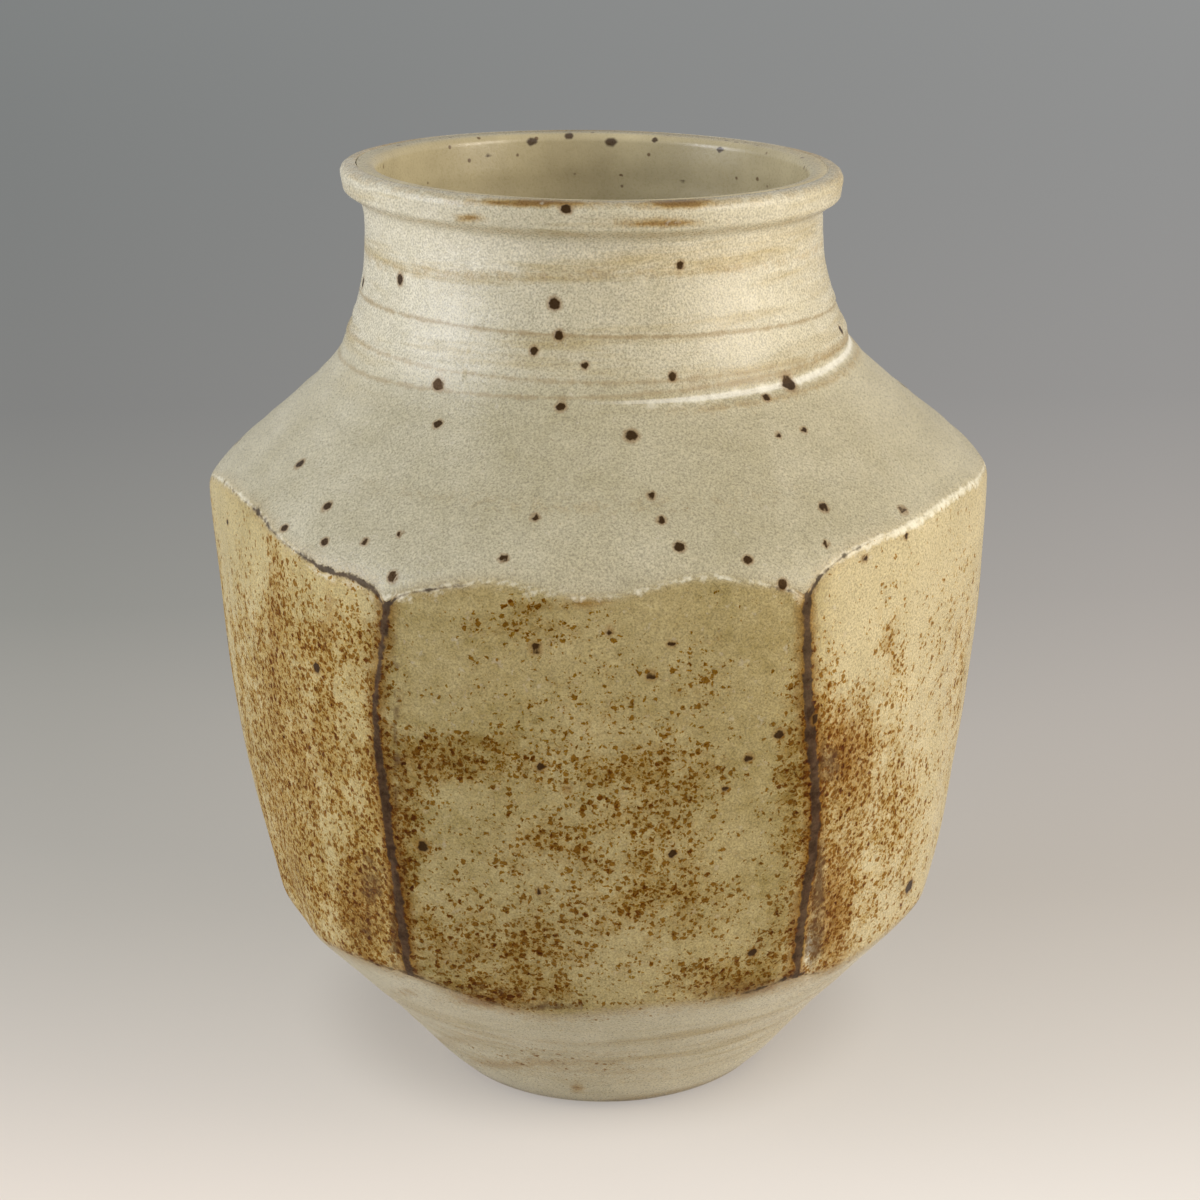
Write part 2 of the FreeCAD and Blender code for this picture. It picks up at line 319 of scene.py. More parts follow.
# %% Row heights, packed closer near the folds
row_gap = soft_curve([
    (0, 1.9), (40, 1.9), (45, 0.8), (52, 0.8), (58, 1.7), (138, 1.7), (148, 0.8), (157, 0.8), (162, 1.2),
    (180, 0.9), (200, 1.0), (217, 1.3), (230, 1.3),
], 2)
GLAZE_LINE, WALL_TOP = 1.6, 214.2
rows = [GLAZE_LINE]
while rows[-1] < WALL_TOP:
    rows.append(rows[-1] + float(row_gap(rows[-1])))
row_level = np.array(rows)
TOP_LEVEL, FOOT_LEVEL = 152.5, 48.0


def bent_rows(level):
    """Row heights bent to the scalloped edges: each edge's shift times a raised cosine round it."""
    near_top = 0.5 + 0.5 * np.cos(np.pi * np.clip((level - TOP_LEVEL) / 26, -1, 1))
    near_foot = 0.5 + 0.5 * np.cos(np.pi * np.clip((level - FOOT_LEVEL) / 24, -1, 1))
    return level + (facet_top - TOP_LEVEL) * near_top + (facet_foot - FOOT_LEVEL) * near_foot


wall_height = bent_rows(row_level[:, None])
wall_azimuth = column_azimuth(wall_height)
wall_radius = body_radius(wall_azimuth, wall_height)
print("wall grid", wall_radius.shape, "widest %.1f mm" % wall_radius.max())

# %% [markdown]
# ## Rim
# The rim was folded over and pressed into a band with a finger. Its section is a few corners with
# rounded joins. The whole rim also leans a little to the right, as it does on the real jar.

# %% Rounded sections, and the lean of the rim


def rounded_section(corners, points_per_bend=5):
    """Points along (radius, height, rounding) corners, each bend an arc tangent to both its lines."""
    corners = np.array(corners, dtype=float)
    points = [corners[0, :2]]
    for before, here, after in zip(corners[:-2], corners[1:-1], corners[2:]):
        come = (before[:2] - here[:2]) / np.linalg.norm(before[:2] - here[:2])
        go = (after[:2] - here[:2]) / np.linalg.norm(after[:2] - here[:2])
        half = math.acos(np.clip(come @ go, -1, 1)) / 2
        centre_line = (come + go) / np.linalg.norm(come + go)
        centre = here[:2] + centre_line * here[2] / math.sin(half)
        start = here[:2] + come * here[2] / math.tan(half) - centre
        end = here[:2] + go * here[2] / math.tan(half) - centre
        for t in np.linspace(0, 1, points_per_bend):
            spoke = start * (1 - t) + end * t
            points.append(centre + spoke / np.linalg.norm(spoke) * here[2])
    points.append(corners[-1, :2])
    return np.array(points)


def between(points, gap):
    """The same line with points added so that no step is longer than the gap."""
    filled = [points[0]]
    for start, end in zip(points[:-1], points[1:]):
        count = max(1, int(math.ceil(np.linalg.norm(end - start) / gap)))
        filled += [start + (end - start) * k / count for k in range(1, count + 1)]
    return np.array(filled)


RIM_LEAN = 0.030


def lean_rim(place):
    """The top of the jar leans right: height falls by a share of x that fades in from 196 to 220 mm."""
    leaned = place.copy()
    leaned[..., 2] -= RIM_LEAN * place[..., 0] * smooth_step(place[..., 2], 196, 220)
    return leaned


def place_of(azimuth, radius, height):
    """Points in mm from azimuth (0 at the front, growing to the right), radius and height."""
    angle = np.radians(azimuth)
    spread = np.broadcast_arrays(radius * np.sin(angle), -radius * np.cos(angle), height)
    return lean_rim(np.stack(spread, axis=-1))


rim_outside = between(rounded_section([
    (53.95, 216.4, 0), (54.4, 218.0, 2.6), (58.3, 220.6, 1.3), (59.2, 226.4, 2.0), (55.2, 226.65, 0),
], 5), 1.4)
rim_azimuth = wall_azimuth[-1]
rim_wobble = 0.18 * np.sin(np.radians(3 * rim_azimuth + 20)) + 0.12 * np.sin(np.radians(7 * rim_azimuth))
print("rim section", len(rim_outside), "points")

# %% [markdown]
# ## Grids into meshes
# Every piece is a grid of rows and columns that closes on itself round the jar. Each glaze skin has
# an outer and an inner side joined at both edges, so it is a true thin shell.

# %% One function turns a closed grid into a piece


def grid_piece(name, place, loops_back, first_pole=False, last_pole=False):
    """Mesh from rows by columns of points in mm. Columns wrap round the jar, and rows wrap too where
    the grid loops back. A pole is one point that closes the first or last row."""
    row_count, column_count = place.shape[:2]
    points = place.reshape(-1, 3)
    row = np.arange(row_count if loops_back else row_count - 1)[:, None]
    column = np.arange(column_count)[None, :]
    next_row, next_column = (row + 1) % row_count, (column + 1) % column_count
    here, above = row * column_count, next_row * column_count
    quads = np.stack([here + column, here + next_column, above + next_column, above + column], axis=-1)
    quads = quads.reshape(-1, 4)
    faces = quads.tolist()
    ring = np.arange(column_count)
    if first_pole:
        points = np.vstack([points, [[0, 0, place[0, :, 2].mean()]]])
        faces += np.stack([np.roll(ring, -1), ring, np.full(column_count, len(points) - 1)], axis=-1).tolist()
    if last_pole:
        points = np.vstack([points, [[0, 0, place[-1, :, 2].mean()]]])
        last = ring + (row_count - 1) * column_count
        faces += np.stack([last, np.roll(last, -1), np.full(column_count, len(points) - 1)], axis=-1).tolist()
    mesh = bpy.data.meshes.new(name)
    mesh.from_pydata((points * MM).tolist(), [], faces)
    mesh.polygons.foreach_set("use_smooth", np.ones(len(faces), dtype=bool))
    mesh.validate()
    piece = bpy.data.objects.new(name, mesh)
    bpy.context.scene.collection.objects.link(piece)
    triangles = 2 * len(quads) + (len(faces) - len(quads))
    print(name, "triangles", triangles)
    return piece


def wall_normal(place):
    """Outward unit normals of a grid from the cross product of its row and column steps."""
    along = np.gradient(place, axis=0)
    round_jar = np.roll(place, -1, axis=1) - np.roll(place, 1, axis=1)
    normal = np.cross(round_jar, along)
    return normal / np.linalg.norm(normal, axis=-1, keepdims=True)


# %% The outer glaze: wall, rim, and the clay side of the skin
GLAZE_THICKNESS = 0.8
rim_radius = rim_outside[1:, :1] + rim_wobble
rim_place = place_of(rim_azimuth, rim_radius, rim_outside[1:, 1:])
outer_face = np.concatenate([place_of(wall_azimuth, wall_radius, wall_height), rim_place])
near_groove = np.flatnonzero(np.abs(row_level - 184) < 5)
inner_rows = np.unique(np.concatenate([np.linspace(0, len(outer_face) - 1, 20).astype(int), near_groove]))
inner_face = outer_face - GLAZE_THICKNESS * wall_normal(outer_face)
inner_face[0, :, 2] = GLAZE_LINE
outer_grid = np.concatenate([outer_face, inner_face[inner_rows[::-1]]])
outer_glaze = grid_piece("outer_glaze_skin", outer_grid, loops_back=True)
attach(outer_glaze, "root")
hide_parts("outer_glaze")

# %% [markdown]
# ## Inside of the jar
# The hollow stayed round, because only the outside was cut. Soft finger rings show in the neck
# when light falls down it. The poured glaze is a second skin that meets the first on the lip.

# %% The liner glaze, from the lip to the middle of the floor
LINER_THICKNESS = 0.6
hollow = between(rounded_section([
    (55.2, 226.65, 0), (50.6, 226.2, 2.0), (49.3, 184.3, 30), (82.8, 154.2, 12), (82.6, 118, 200),
    (73.0, 49.0, 15), (39.5, 9.5, 25), (6.0, 9.5, 0),
], 7), 3.2)
hollow_azimuth = np.linspace(-180, 180, 240, endpoint=False)


def hollow_place(section, growth):
    """The hollow's wall, grown square to its section by a thickness, with faint finger rings."""
    along = np.gradient(section, axis=0)
    along /= np.linalg.norm(along, axis=1, keepdims=True)
    radius = (section[:, 0] - growth * along[:, 1])[:, None]
    height = (section[:, 1] + growth * along[:, 0])[:, None]
    in_neck = smooth_step(height, 170, 190) * (1 - smooth_step(height, 214, 224))
    rings = 0.30 * np.sin(2 * np.pi * (height / 9.0 + hollow_azimuth / 360)) * (0.3 + 0.7 * in_neck)
    rings = rings * smooth_step(225 - height, 0, 6) * smooth_step(height, 12, 30)
    return place_of(hollow_azimuth, np.maximum(radius + rings, 0.5), height + 0 * rings)


liner_inside = hollow_place(hollow, 0)
liner_back = hollow_place(hollow, LINER_THICKNESS)
liner_back[0] = liner_inside[0] - np.array([0, 0, LINER_THICKNESS])
liner_rows = np.unique(np.linspace(0, len(liner_back) - 1, 30).astype(int))
liner_grid = np.concatenate([liner_inside[::-1], liner_back[liner_rows]])
liner_grid = liner_grid[:, ::-1]
liner_glaze = grid_piece("liner_glaze_skin", liner_grid, loops_back=False, first_pole=True, last_pole=True)
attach(liner_glaze, "root")
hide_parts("liner_glaze")

# %% [markdown]
# ## Clay
# Under the glaze are three thrown sections and the slip that joins them. Only the foot ring shows,
# bare and a little sandy, but each section is whole and keeps just inside the glaze all over.

# %% Clay walls: the glazed wall moved in by the glaze, the hollow moved out by the liner
clay_azimuth = column_azimuth(np.full((1, COLUMNS), 100.0))[0][::4]


def clay_outside(levels):
    """Clay surface at some levels: the glazed wall's radius there, less the glaze square to the slope."""
    level = np.asarray(levels, dtype=float)[:, None] + np.zeros(COLUMNS)
    azimuth = column_azimuth(level)
    radius = body_radius(azimuth, level)
    slope = radius - body_radius(column_azimuth(level - 1), level - 1)
    radius = radius - (GLAZE_THICKNESS + 0.1) * np.sqrt(1 + slope ** 2)
    return place_of(azimuth, radius, level)[:, ::4]


def clay_inside(section):
    """Clay surface of the hollow, behind the liner, in the same columns as the outside."""
    along = np.gradient(section, axis=0)
    along /= np.linalg.norm(along, axis=1, keepdims=True)
    radius = (section[:, 0] - (LINER_THICKNESS + 0.4) * along[:, 1])[:, None]
    height = (section[:, 1] + (LINER_THICKNESS + 0.4) * along[:, 0])[:, None]
    return place_of(clay_azimuth, radius, height + 0 * clay_azimuth)


def hollow_stretch(low, high):
    """The part of the hollow's section between two heights, from the top down."""
    heights = hollow[:, 1]
    inside = hollow[(heights > low + 0.3) & (heights < high - 0.3) & (np.arange(len(hollow)) > 6)]
    rising = hollow[::-1][:-1]
    ends = [np.array([[np.interp(level, rising[:, 1], rising[:, 0]), level]]) for level in (high, low)]
    return np.concatenate([ends[0], inside, ends[1]])


# At each joint: top of the clay below, foot and top of the slip ring, and foot of the clay above.
BELLY = (145.6, 145.65, 146.35, 146.4)
NECK = (180.0, 180.05, 180.75, 180.8)
foot_section = between(rounded_section([
    (3.0, 3.5, 0), (32.4, 3.5, 0.6), (33.6, 0.0, 0.5), (38.6, 0.0, 0.5), (39.8, 0.9, 0.3), (40.3, 1.7, 0),
], 4), 2.0)
foot_wave = 1 + 0.004 * np.sin(np.radians(5 * clay_azimuth))
foot_place = place_of(clay_azimuth, foot_section[:, :1] * foot_wave, foot_section[:, 1:])
bowl_inside = clay_inside(hollow_stretch(9.6, BELLY[0]))
bowl = np.concatenate([foot_place, clay_outside(np.append(np.arange(3, 145, 3.5), BELLY[0])), bowl_inside])
bowl[-1, :, :2] *= 0.2
lower_bowl = grid_piece("lower_bowl_clay", bowl, loops_back=False, first_pole=True, last_pole=True)
upper_bowl = grid_piece("upper_bowl_clay", np.concatenate([
    clay_outside(np.linspace(BELLY[3], NECK[0], 20)),
    clay_inside(hollow_stretch(BELLY[3], NECK[0]))]), loops_back=True)
belly_joint, neck_joint = [
    grid_piece(name, np.concatenate([clay_outside(joint[1:3]), clay_inside(hollow_stretch(*joint[1:3]))]),
               loops_back=True)
    for name, joint in (("belly_joint_ring", BELLY), ("neck_joint_ring", NECK))]
neck_top = rounded_section([
    (52.4, 216.0, 0), (53.2, 219.4, 1.6), (57.2, 221.6, 1.0), (58.0, 225.4, 1.4), (51.4, 225.4, 1.4),
    (50.6, 222.0, 0),
], 3)
neck_clay = grid_piece("neck_clay", np.concatenate([
    clay_outside(np.linspace(NECK[3], 214.0, 18)), place_of(clay_azimuth, neck_top[:, :1], neck_top[:, 1:]),
    clay_inside(hollow_stretch(NECK[3], 214.0))]), loops_back=True)
for piece, node, finish in (
        (lower_bowl, "lower_bowl", "stoneware"), (upper_bowl, "upper_bowl", "stoneware"),
        (neck_clay, "neck", "stoneware"), (belly_joint, "belly_joint_slip", "joining_slip"),
        (neck_joint, "neck_joint_slip", "joining_slip")):
    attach(piece, "root")
    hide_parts(node)

# %% [markdown]
# ## Marks that follow the form
# Glaze runs thin over an edge and lets the iron in the clay burn through: purple brown on the very
# edge, amber beside it. The mesh carries those distances as named numbers at its points, in mm, so
# that a thin line stays crisp however coarse the mesh is.

# %% Distances and masks carried by the points of the outer glaze


def give(piece, name, values):
    """Store one number per point under a name that a material can read. The back of a glaze skin
    and the poles get the number of the row or point that they lie behind."""
    if piece is outer_glaze:
        values = np.concatenate([values, values[inner_rows[::-1]]])
    flat = values.ravel()
    layer = piece.data.attributes.new(name, "FLOAT", "POINT")
    flat = np.concatenate([flat, np.full(len(piece.data.vertices) - len(flat), flat[-1])])
    layer.data.foreach_set("value", flat.astype(np.float32))


every_azimuth = np.concatenate([wall_azimuth, np.repeat(wall_azimuth[-1:], len(rim_place), axis=0)])
every_height = np.concatenate([wall_height, np.broadcast_to(rim_outside[1:, 1:], rim_place.shape[:2])])
every_radius = np.concatenate([wall_radius, np.broadcast_to(rim_radius, rim_place.shape[:2])])
seen_x, seen_y = seen_at(outer_face)
faces_camera = np.cos(np.radians(every_azimuth)) > 0.15
front = np.where(faces_camera, 1.0, 0.0)


def nearest_corner(azimuth, height):
    """Distance in mm along the wall from the nearest corner line, and which corner it is."""
    lines = np.array([line(height) for line in corner_lines])
    away = (azimuth[None] - lines + 180) % 360 - 180
    which = np.argmin(np.abs(away), axis=0)
    chosen = np.take_along_axis(away, which[None], axis=0)[0]
    return np.radians(np.abs(chosen)) * every_radius, which


from_corner, corner_id = nearest_corner(every_azimuth, every_height)
edge_line = every_height - np.concatenate([np.broadcast_to(facet_top, wall_azimuth.shape),
                                           np.broadcast_to(facet_top, rim_place.shape[:2])])
foot_fold = every_height - np.broadcast_to(facet_foot, every_height.shape)
roll_over = (facet_top - 148.8) * bump((wall_azimuth[0] + 180) % 360 - 180, 15)
edge_line = edge_line + np.broadcast_to(roll_over, every_height.shape)
on_facet = smooth_step(-edge_line, -1.5, 1.5) * smooth_step(foot_fold, -1.5, 1.5)
print("facets cover %.0f%% of the outer grid" % (100 * on_facet.mean()))

# %% [markdown]
# ## Where the kiln darkened the glaze, and where shade and a highlight are painted
# Clusters of iron speckle, amber patches and paler runs are laid one by one where a viewer of the
# front sees them. Each is a soft oval: its middle, its half width and half height, and how strong
# it is. The back gets a similar scatter in azimuth and height, so no side is left plain.

# %% Soft ovals in the picture plane and round the back


def ovals(u, v, table):
    """Sum of soft ovals: strength times e to the minus (du over a) squared minus (dv over b) squared."""
    total = np.zeros(u.shape)
    for middle_u, middle_v, half_u, half_v, strength in table:
        total = total + strength * np.exp(-((u - middle_u) / half_u) ** 2 - ((v - middle_v) / half_v) ** 2)
    return total


wrapped = (every_azimuth + 180) % 360 - 180
around = np.where(wrapped < 0, wrapped + 360, wrapped)

front_speckle = [
    (430, 762, 62, 20, 1.0), (402, 830, 20, 70, 0.95), (470, 745, 50, 10, 0.5), (455, 940, 60, 36, 0.60),
    (500, 990, 70, 16, 1.0), (540, 950, 40, 30, 0.6), (735, 975, 62, 18, 0.8), (655, 800, 50, 60, 0.42),
    (790, 780, 16, 90, 0.7), (640, 905, 60, 30, 0.40), (690, 900, 50, 26, 0.3), (520, 628, 66, 14, 0.5),
    (705, 675, 26, 50, 0.35), (550, 850, 36, 24, 0.5), (610, 770, 110, 16, 0.4),
    (560, 700, 100, 50, 0.22), (780, 940, 20, 40, 0.6), (600, 850, 180, 140, 0.32),
    (535, 606, 34, 9, 0.7), (330, 640, 50, 40, 0.55), (300, 760, 60, 110, 0.8), (280, 640, 18, 120, 0.7),
    (375, 800, 18, 150, 0.7), (365, 910, 40, 50, 1.0), (300, 880, 40, 40, 0.5), (240, 640, 16, 100, 0.4),
    (845, 760, 34, 60, 1.1), (835, 900, 28, 60, 1.1), (822, 830, 16, 120, 0.9), (890, 640, 12, 70, 0.45),
    (890, 830, 30, 90, 0.5), (930, 760, 50, 180, 0.22), (830, 660, 20, 40, 0.3), (960, 640, 20, 120, 0.3),
]
back_speckle = [
    (105, 72, 14, 20, 0.9), (120, 132, 14, 10, 0.8), (128, 104, 10, 16, 0.45), (148, 100, 7, 50, 0.9),
    (165, 62, 16, 9, 1.1), (172, 96, 12, 9, 0.7), (185, 124, 9, 16, 0.5), (212, 95, 7, 45, 0.95),
    (222, 66, 10, 12, 0.9), (240, 104, 12, 12, 0.7), (250, 132, 10, 14, 0.5), (272, 100, 6, 50, 0.8),
    (90, 100, 6, 50, 0.7), (200, 72, 10, 12, 0.8), (262, 66, 14, 9, 0.8), (230, 88, 6, 40, 0.4),
]
front_amber = [
    (585, 603, 30, 7, 0.8), (845, 750, 26, 46, 1.0), (832, 910, 20, 60, 0.95), (402, 800, 9, 120, 0.5),
    (362, 905, 28, 50, 0.75), (330, 620, 10, 40, 0.5), (273, 640, 6, 100, 0.5), (500, 1000, 60, 9, 0.8),
    (735, 988, 56, 8, 0.8), (435, 764, 44, 10, 0.45), (530, 203, 60, 3.5, 1.3), (680, 203, 34, 5, 1.3),
    (468, 218, 14, 4, 1.2), (660, 223, 42, 4, 1.3), (888, 640, 4, 50, 0.35), (795, 940, 8, 40, 0.6),
    (577, 1088, 7, 4, 1.2), (515, 1064, 70, 5, 0.6), (620, 1070, 60, 3, 0.4), (450, 1040, 34, 4, 0.4),
    (405, 992, 12, 3, 0.9), (450, 950, 50, 24, 0.3), (300, 770, 30, 60, 0.35),
]
back_amber = [
    (148, 110, 5, 45, 0.5), (210, 90, 5, 45, 0.5), (165, 60, 16, 8, 0.8), (250, 60, 14, 8, 0.7),
    (120, 148, 12, 5, 0.6), (185, 150, 14, 4, 0.6), (235, 150, 14, 4, 0.5), (180, 226, 20, 1.6, 0.8),
    (110, 226, 14, 1.6, 0.6), (240, 226, 18, 1.6, 0.7),
]


def laid(front_table, back_table):
    """One set of ovals in the picture plane at the front, and one in azimuth and height behind."""
    behind = (1 - front) * ovals(around, every_height, back_table)
    return front * ovals(seen_x, seen_y, front_table) + behind


speckle = laid(front_speckle, back_speckle)
streak_draws = np.random.default_rng(7).normal(0, 1, 170)
streaks = soft_curve(list(zip(np.arange(-186.0, 187.0, 2.2), streak_draws)), 1.0)
side_facet = smooth_step(np.abs(wrapped), 30, 34)
streak_here = streaks(np.clip(wrapped + 0.8 * np.sin(every_height / 17), -180, 180))
speckle = speckle * (1 + 0.30 * side_facet * streak_here) * (1 + 0.22 * bump(wrapped + 60, 30))
speckle = speckle * on_facet + 0.10 + 0.13 * on_facet + 0.20 * bump(foot_fold + 3, 5)
speckle = speckle + 0.30 * front * ovals(seen_x, seen_y, [(530, 1058, 130, 22, 1.0)])
amber = laid(front_amber, back_amber)
on_neck = smooth_step(every_height, 184, 190)
amber = amber + 0.30 * bump(every_height - 226.2, 0.9) + 0.35 * bump(every_height - 219.4, 0.9)
for line, strength, width in ((neck_band, 0.34, 1.3), (rib_line, 0.22, 1.0), (spiral_line, 0.16, 1.0)):
    amber = amber + strength * bump(every_height - line(wrapped), width)
groove_gap = every_height - groove_line(wrapped)
beside_groove = bump(groove_gap - 2.0, 0.8) + bump(groove_gap + 2.0, 0.9)
amber = amber + 0.5 * beside_groove * smooth_step(groove_width(wrapped), 0.6, 1.1)
amber = amber + 0.22 * bump(every_height - 165.8 + 0.02 * wrapped, 1.3) * bump(wrapped, 40)
amber = amber + 0.35 * bump(foot_fold + 2, 2.5)
for level, strength, width in ((31, 0.30, 1.2), (22, 0.25, 1.2), (26.5, 0.25, 0.7), (14, 0.3, 0.9)):
    amber = amber + strength * bump(every_height - level, width)

# Painted shade in the tone: the shoulder and neck are made darker where they face the viewer than round the
# sides. The facet that faces the viewer gets the darkest tone, as the side lamps leave the front dimmer.
# Otherwise the tone is the glaze's own colour, paler on the neck.
tone_and_shade = 0.46 + 0.37 * on_neck + 0.12 * smooth_step(np.abs(wrapped), 20, 60)
facet_tone = np.interp(wrapped, [-180, -150, -90, -60, -33, -29, 0, 27, 32, 60, 90, 150, 180],
                       [0.35, 0.5, 0.6, 0.52, 0.47, 0.06, 0.18, 0.05, 0.66, 0.75, 0.6, 0.4, 0.35])
tone_and_shade = tone_and_shade * (1 - on_facet) + facet_tone * on_facet
below_foot = smooth_step(-foot_fold, 0, 6)
ring_draws = np.random.default_rng(11).normal(0, 1, 36)
foot_rings = soft_curve(list(zip(np.arange(0.0, 60.0, 1.7), ring_draws)), 0.5)
patches = np.sin(np.radians(wrapped * 2.3 + 40)) * np.sin(np.radians(wrapped * 5.1) + every_height / 9)
patchy = 0.5 + 0.5 * patches
amber = amber + 0.34 * np.clip(foot_rings(every_height), 0, 1.5) * patchy * below_foot
foot_tone = np.interp(wrapped, [-180, -60, 0, 60, 120, 180], [0.4, 0.62, 0.42, 0.92, 0.5, 0.4])
tone_and_shade = tone_and_shade * (1 - below_foot) + foot_tone * below_foot
tone_and_shade = tone_and_shade + 0.10 * on_facet * bump(every_height - 72, 22) * bump(wrapped, 24)
# A faint paler streak slants up the shoulder on the right.
shoulder_streak_line = 24.7 + 0.352 * (every_height - 150.4)
tone_and_shade = tone_and_shade + 0.10 * bump(wrapped - shoulder_streak_line, 1.6) * bump(every_height - 168, 13)
# A paler band runs just under the rim. Painted shade: the middle of the neck, which faces the viewer, is
# darkened.
tone_and_shade = tone_and_shade + 0.35 * bump(every_height - 214, 4) - 0.20 * on_neck * bump(wrapped, 22)
cream_and_highlight = 0.4 * bump(groove_gap, 0.9 * groove_width(wrapped)) * smooth_step(groove_width(wrapped), 0.35, 0.9)
# Painted highlight: a pale line along the top edge of the right facet. The groove's white above is the
# glaze's own colour.
right_edge_highlight = smooth_step(wrapped, 31, 36) * (1 - smooth_step(wrapped, 72, 80))
cream_and_highlight = cream_and_highlight + 0.42 * bump(edge_line + 0.6, 0.7) * right_edge_highlight
cream_and_highlight = cream_and_highlight + 0.36 * bump(edge_line + 1.4, 0.7) * bump(wrapped + 38, 7)
cream_and_highlight = cream_and_highlight + 0.40 * bump(edge_line - 0.2, 0.5) * smooth_step(-np.abs(wrapped), -180, -95)
cream_and_highlight = cream_and_highlight + front * ovals(seen_x, seen_y, [
    (532, 597, 12, 5, 0.3), (395, 598, 16, 2.5, 0.6), (440, 592, 12, 3, 0.35), (808, 950, 5, 24, 0.9),
    (800, 600, 6, 6, 0.4),
])
print("ovals laid:", len(front_speckle), "in front,", len(back_speckle), "behind")

# %% Iron spots placed one by one, as azimuth, height and radius in mm
iron_spots = np.array([
    (-53.5, 205.5, 1.0), (-9.4, 204.1, 1.1), (20.1, 212, 0.8), (-8.2, 197.6, 0.9), (-13.7, 194.2, 0.8),
    (-2.4, 191.4, 0.7), (-7.2, 183, 1.0), (16.2, 188.3, 0.8), (-35.4, 185.4, 1.2), (44.2, 183.2, 1.6),
    (36.7, 181.7, 0.9), (-32, 178.3, 0.9), (6.3, 177.7, 1.2), (8.3, 167.3, 0.8), (-57.5, 166.2, 1.0),
    (-44.2, 161.4, 1.0), (-40.6, 155.9, 0.9), (-33.9, 157.3, 0.8), (-29, 159.5, 0.7), (-27.6, 152.4, 1.0),
    (-12.9, 157.1, 0.9), (-9.4, 164.1, 0.8), (9.1, 163.3, 0.8), (11, 158.7, 1.0), (19.8, 155.5, 0.9),
    (23.8, 150.2, 0.9), (34.8, 161.9, 1.0), (32, 156, 0.8), (40.9, 174.7, 0.8), (34.7, 174.9, 0.7),
    (48.5, 157.9, 1.0), (38, 151.4, 0.9), (46.6, 153.2, 0.8), (-49.5, 156.1, 0.9), (-8.7, 137.9, 1.1),
    (1.1, 141.7, 0.9), (6.6, 131.6, 1.0), (9.3, 138.7, 0.8), (23.9, 115.8, 1.0), (20, 110.6, 0.9),
    (9.8, 88.2, 0.9), (17.1, 103.1, 0.8), (-8.5, 110.2, 1.0), (-5.1, 104.7, 0.8), (-26.3, 88.8, 1.2),
    (-9.9, 78.7, 0.8), (23.3, 59.3, 1.0), (29, 118, 1.0), (-41.9, 127, 1.1), (60.3, 58.5, 1.5),
    (96, 170, 1.0), (112, 205, 0.9), (118, 158, 1.2), (126, 128, 1.0), (139, 90, 1.1), (141, 176, 0.8),
    (152, 196, 1.0), (158, 137, 0.9), (163, 108, 1.2), (171, 161, 1.0), (176, 82, 0.8), (187, 203, 0.9),
    (192, 143, 1.2), (199, 120, 0.8), (206, 165, 1.0), (214, 187, 1.1), (222, 98, 0.9), (228, 152, 0.8),
    (236, 118, 1.1), (243, 171, 0.9), (251, 86, 1.0), (259, 139, 0.8), (266, 159, 1.0), (274, 112, 0.9),
    (281, 201, 1.0), (287, 148, 0.8), (82, 124, 0.9), (88, 96, 1.0), (75, 189, 0.8),
])
NO_SPOT = 9.0
spot_closeness = np.full(every_height.shape, NO_SPOT)
for spot_azimuth, spot_height, spot_radius in iron_spots:
    across = np.radians((wrapped - spot_azimuth + 180) % 360 - 180) * every_radius
    slope = np.where((every_height > 152) & (every_height < 184), 1.5, 1.0)
    apart = np.hypot(across, (every_height - spot_height) * slope) / (1.3 * spot_radius)
    spot_closeness = np.minimum(spot_closeness, apart)
rim_spot = np.hypot(seen_x - 566, (seen_y - 209) * 1.3) / 6.5
spot_closeness = np.where(faces_camera & (every_height > 216), rim_spot, spot_closeness)
print(len(iron_spots), "iron spots")

# %% How strongly each corner line is burnt, and how wide, in mm
burn = np.zeros(every_height.shape)
burn_tables = [
    soft_curve([
        (44, 0.6), (60, 1.3), (80, 1.2), (100, 1.1), (125, 1.0), (140, 1.0), (147, 1.2), (152, 0.0),
    ], 2),
    soft_curve([
        (44, 0.6), (50, 1.2), (70, 1.4), (84, 1.3), (100, 1.3), (125, 1.3), (140, 1.1), (147, 1.2),
        (152, 0.0),
    ], 2),
    soft_curve([(44, 0.5), (100, 0.6), (147, 0.7), (152, 0.0)], 3),
    soft_curve([(44, 0.6), (90, 0.8), (120, 0.6), (147, 0.9), (152, 0.0)], 3),
    soft_curve([(44, 0.4), (90, 0.7), (120, 0.8), (147, 0.9), (152, 0.0)], 3),
    soft_curve([(44, 0.5), (100, 0.6), (147, 0.7), (152, 0.0)], 3),
]
for index, table in enumerate(burn_tables):
    burn = np.where(corner_id == index, table(every_height), burn)
burn_top = soft_curve([
    (-90, 0.4), (-78, 0.5), (-70, 0.8), (-64, 0.5), (-58, 1.0), (-52, 0.7), (-46, 0.6), (-40, 1.1),
    (-33, 1.2), (-29, 1.2), (-26, 0.5), (-24, 0.9), (-19, 0.9), (-15, 0.5), (-10, 0.1), (0, 0.25),
    (8, 0.3), (14, 0.1), (20, 0.35), (24, 0.7), (28, 1.2), (31, 0.8), (36, 0.7), (42, 0.5), (50, 0.2),
    (70, 0.2), (84, 0.5), (90, 0.8), (96, 0.5), (120, 0.3), (140, 0.8), (150, 1.2), (160, 0.6),
    (180, 0.3), (200, 0.7), (210, 1.2), (220, 0.5), (240, 0.3), (262, 0.8), (270, 0.4),
], 1.5, wraps=True)
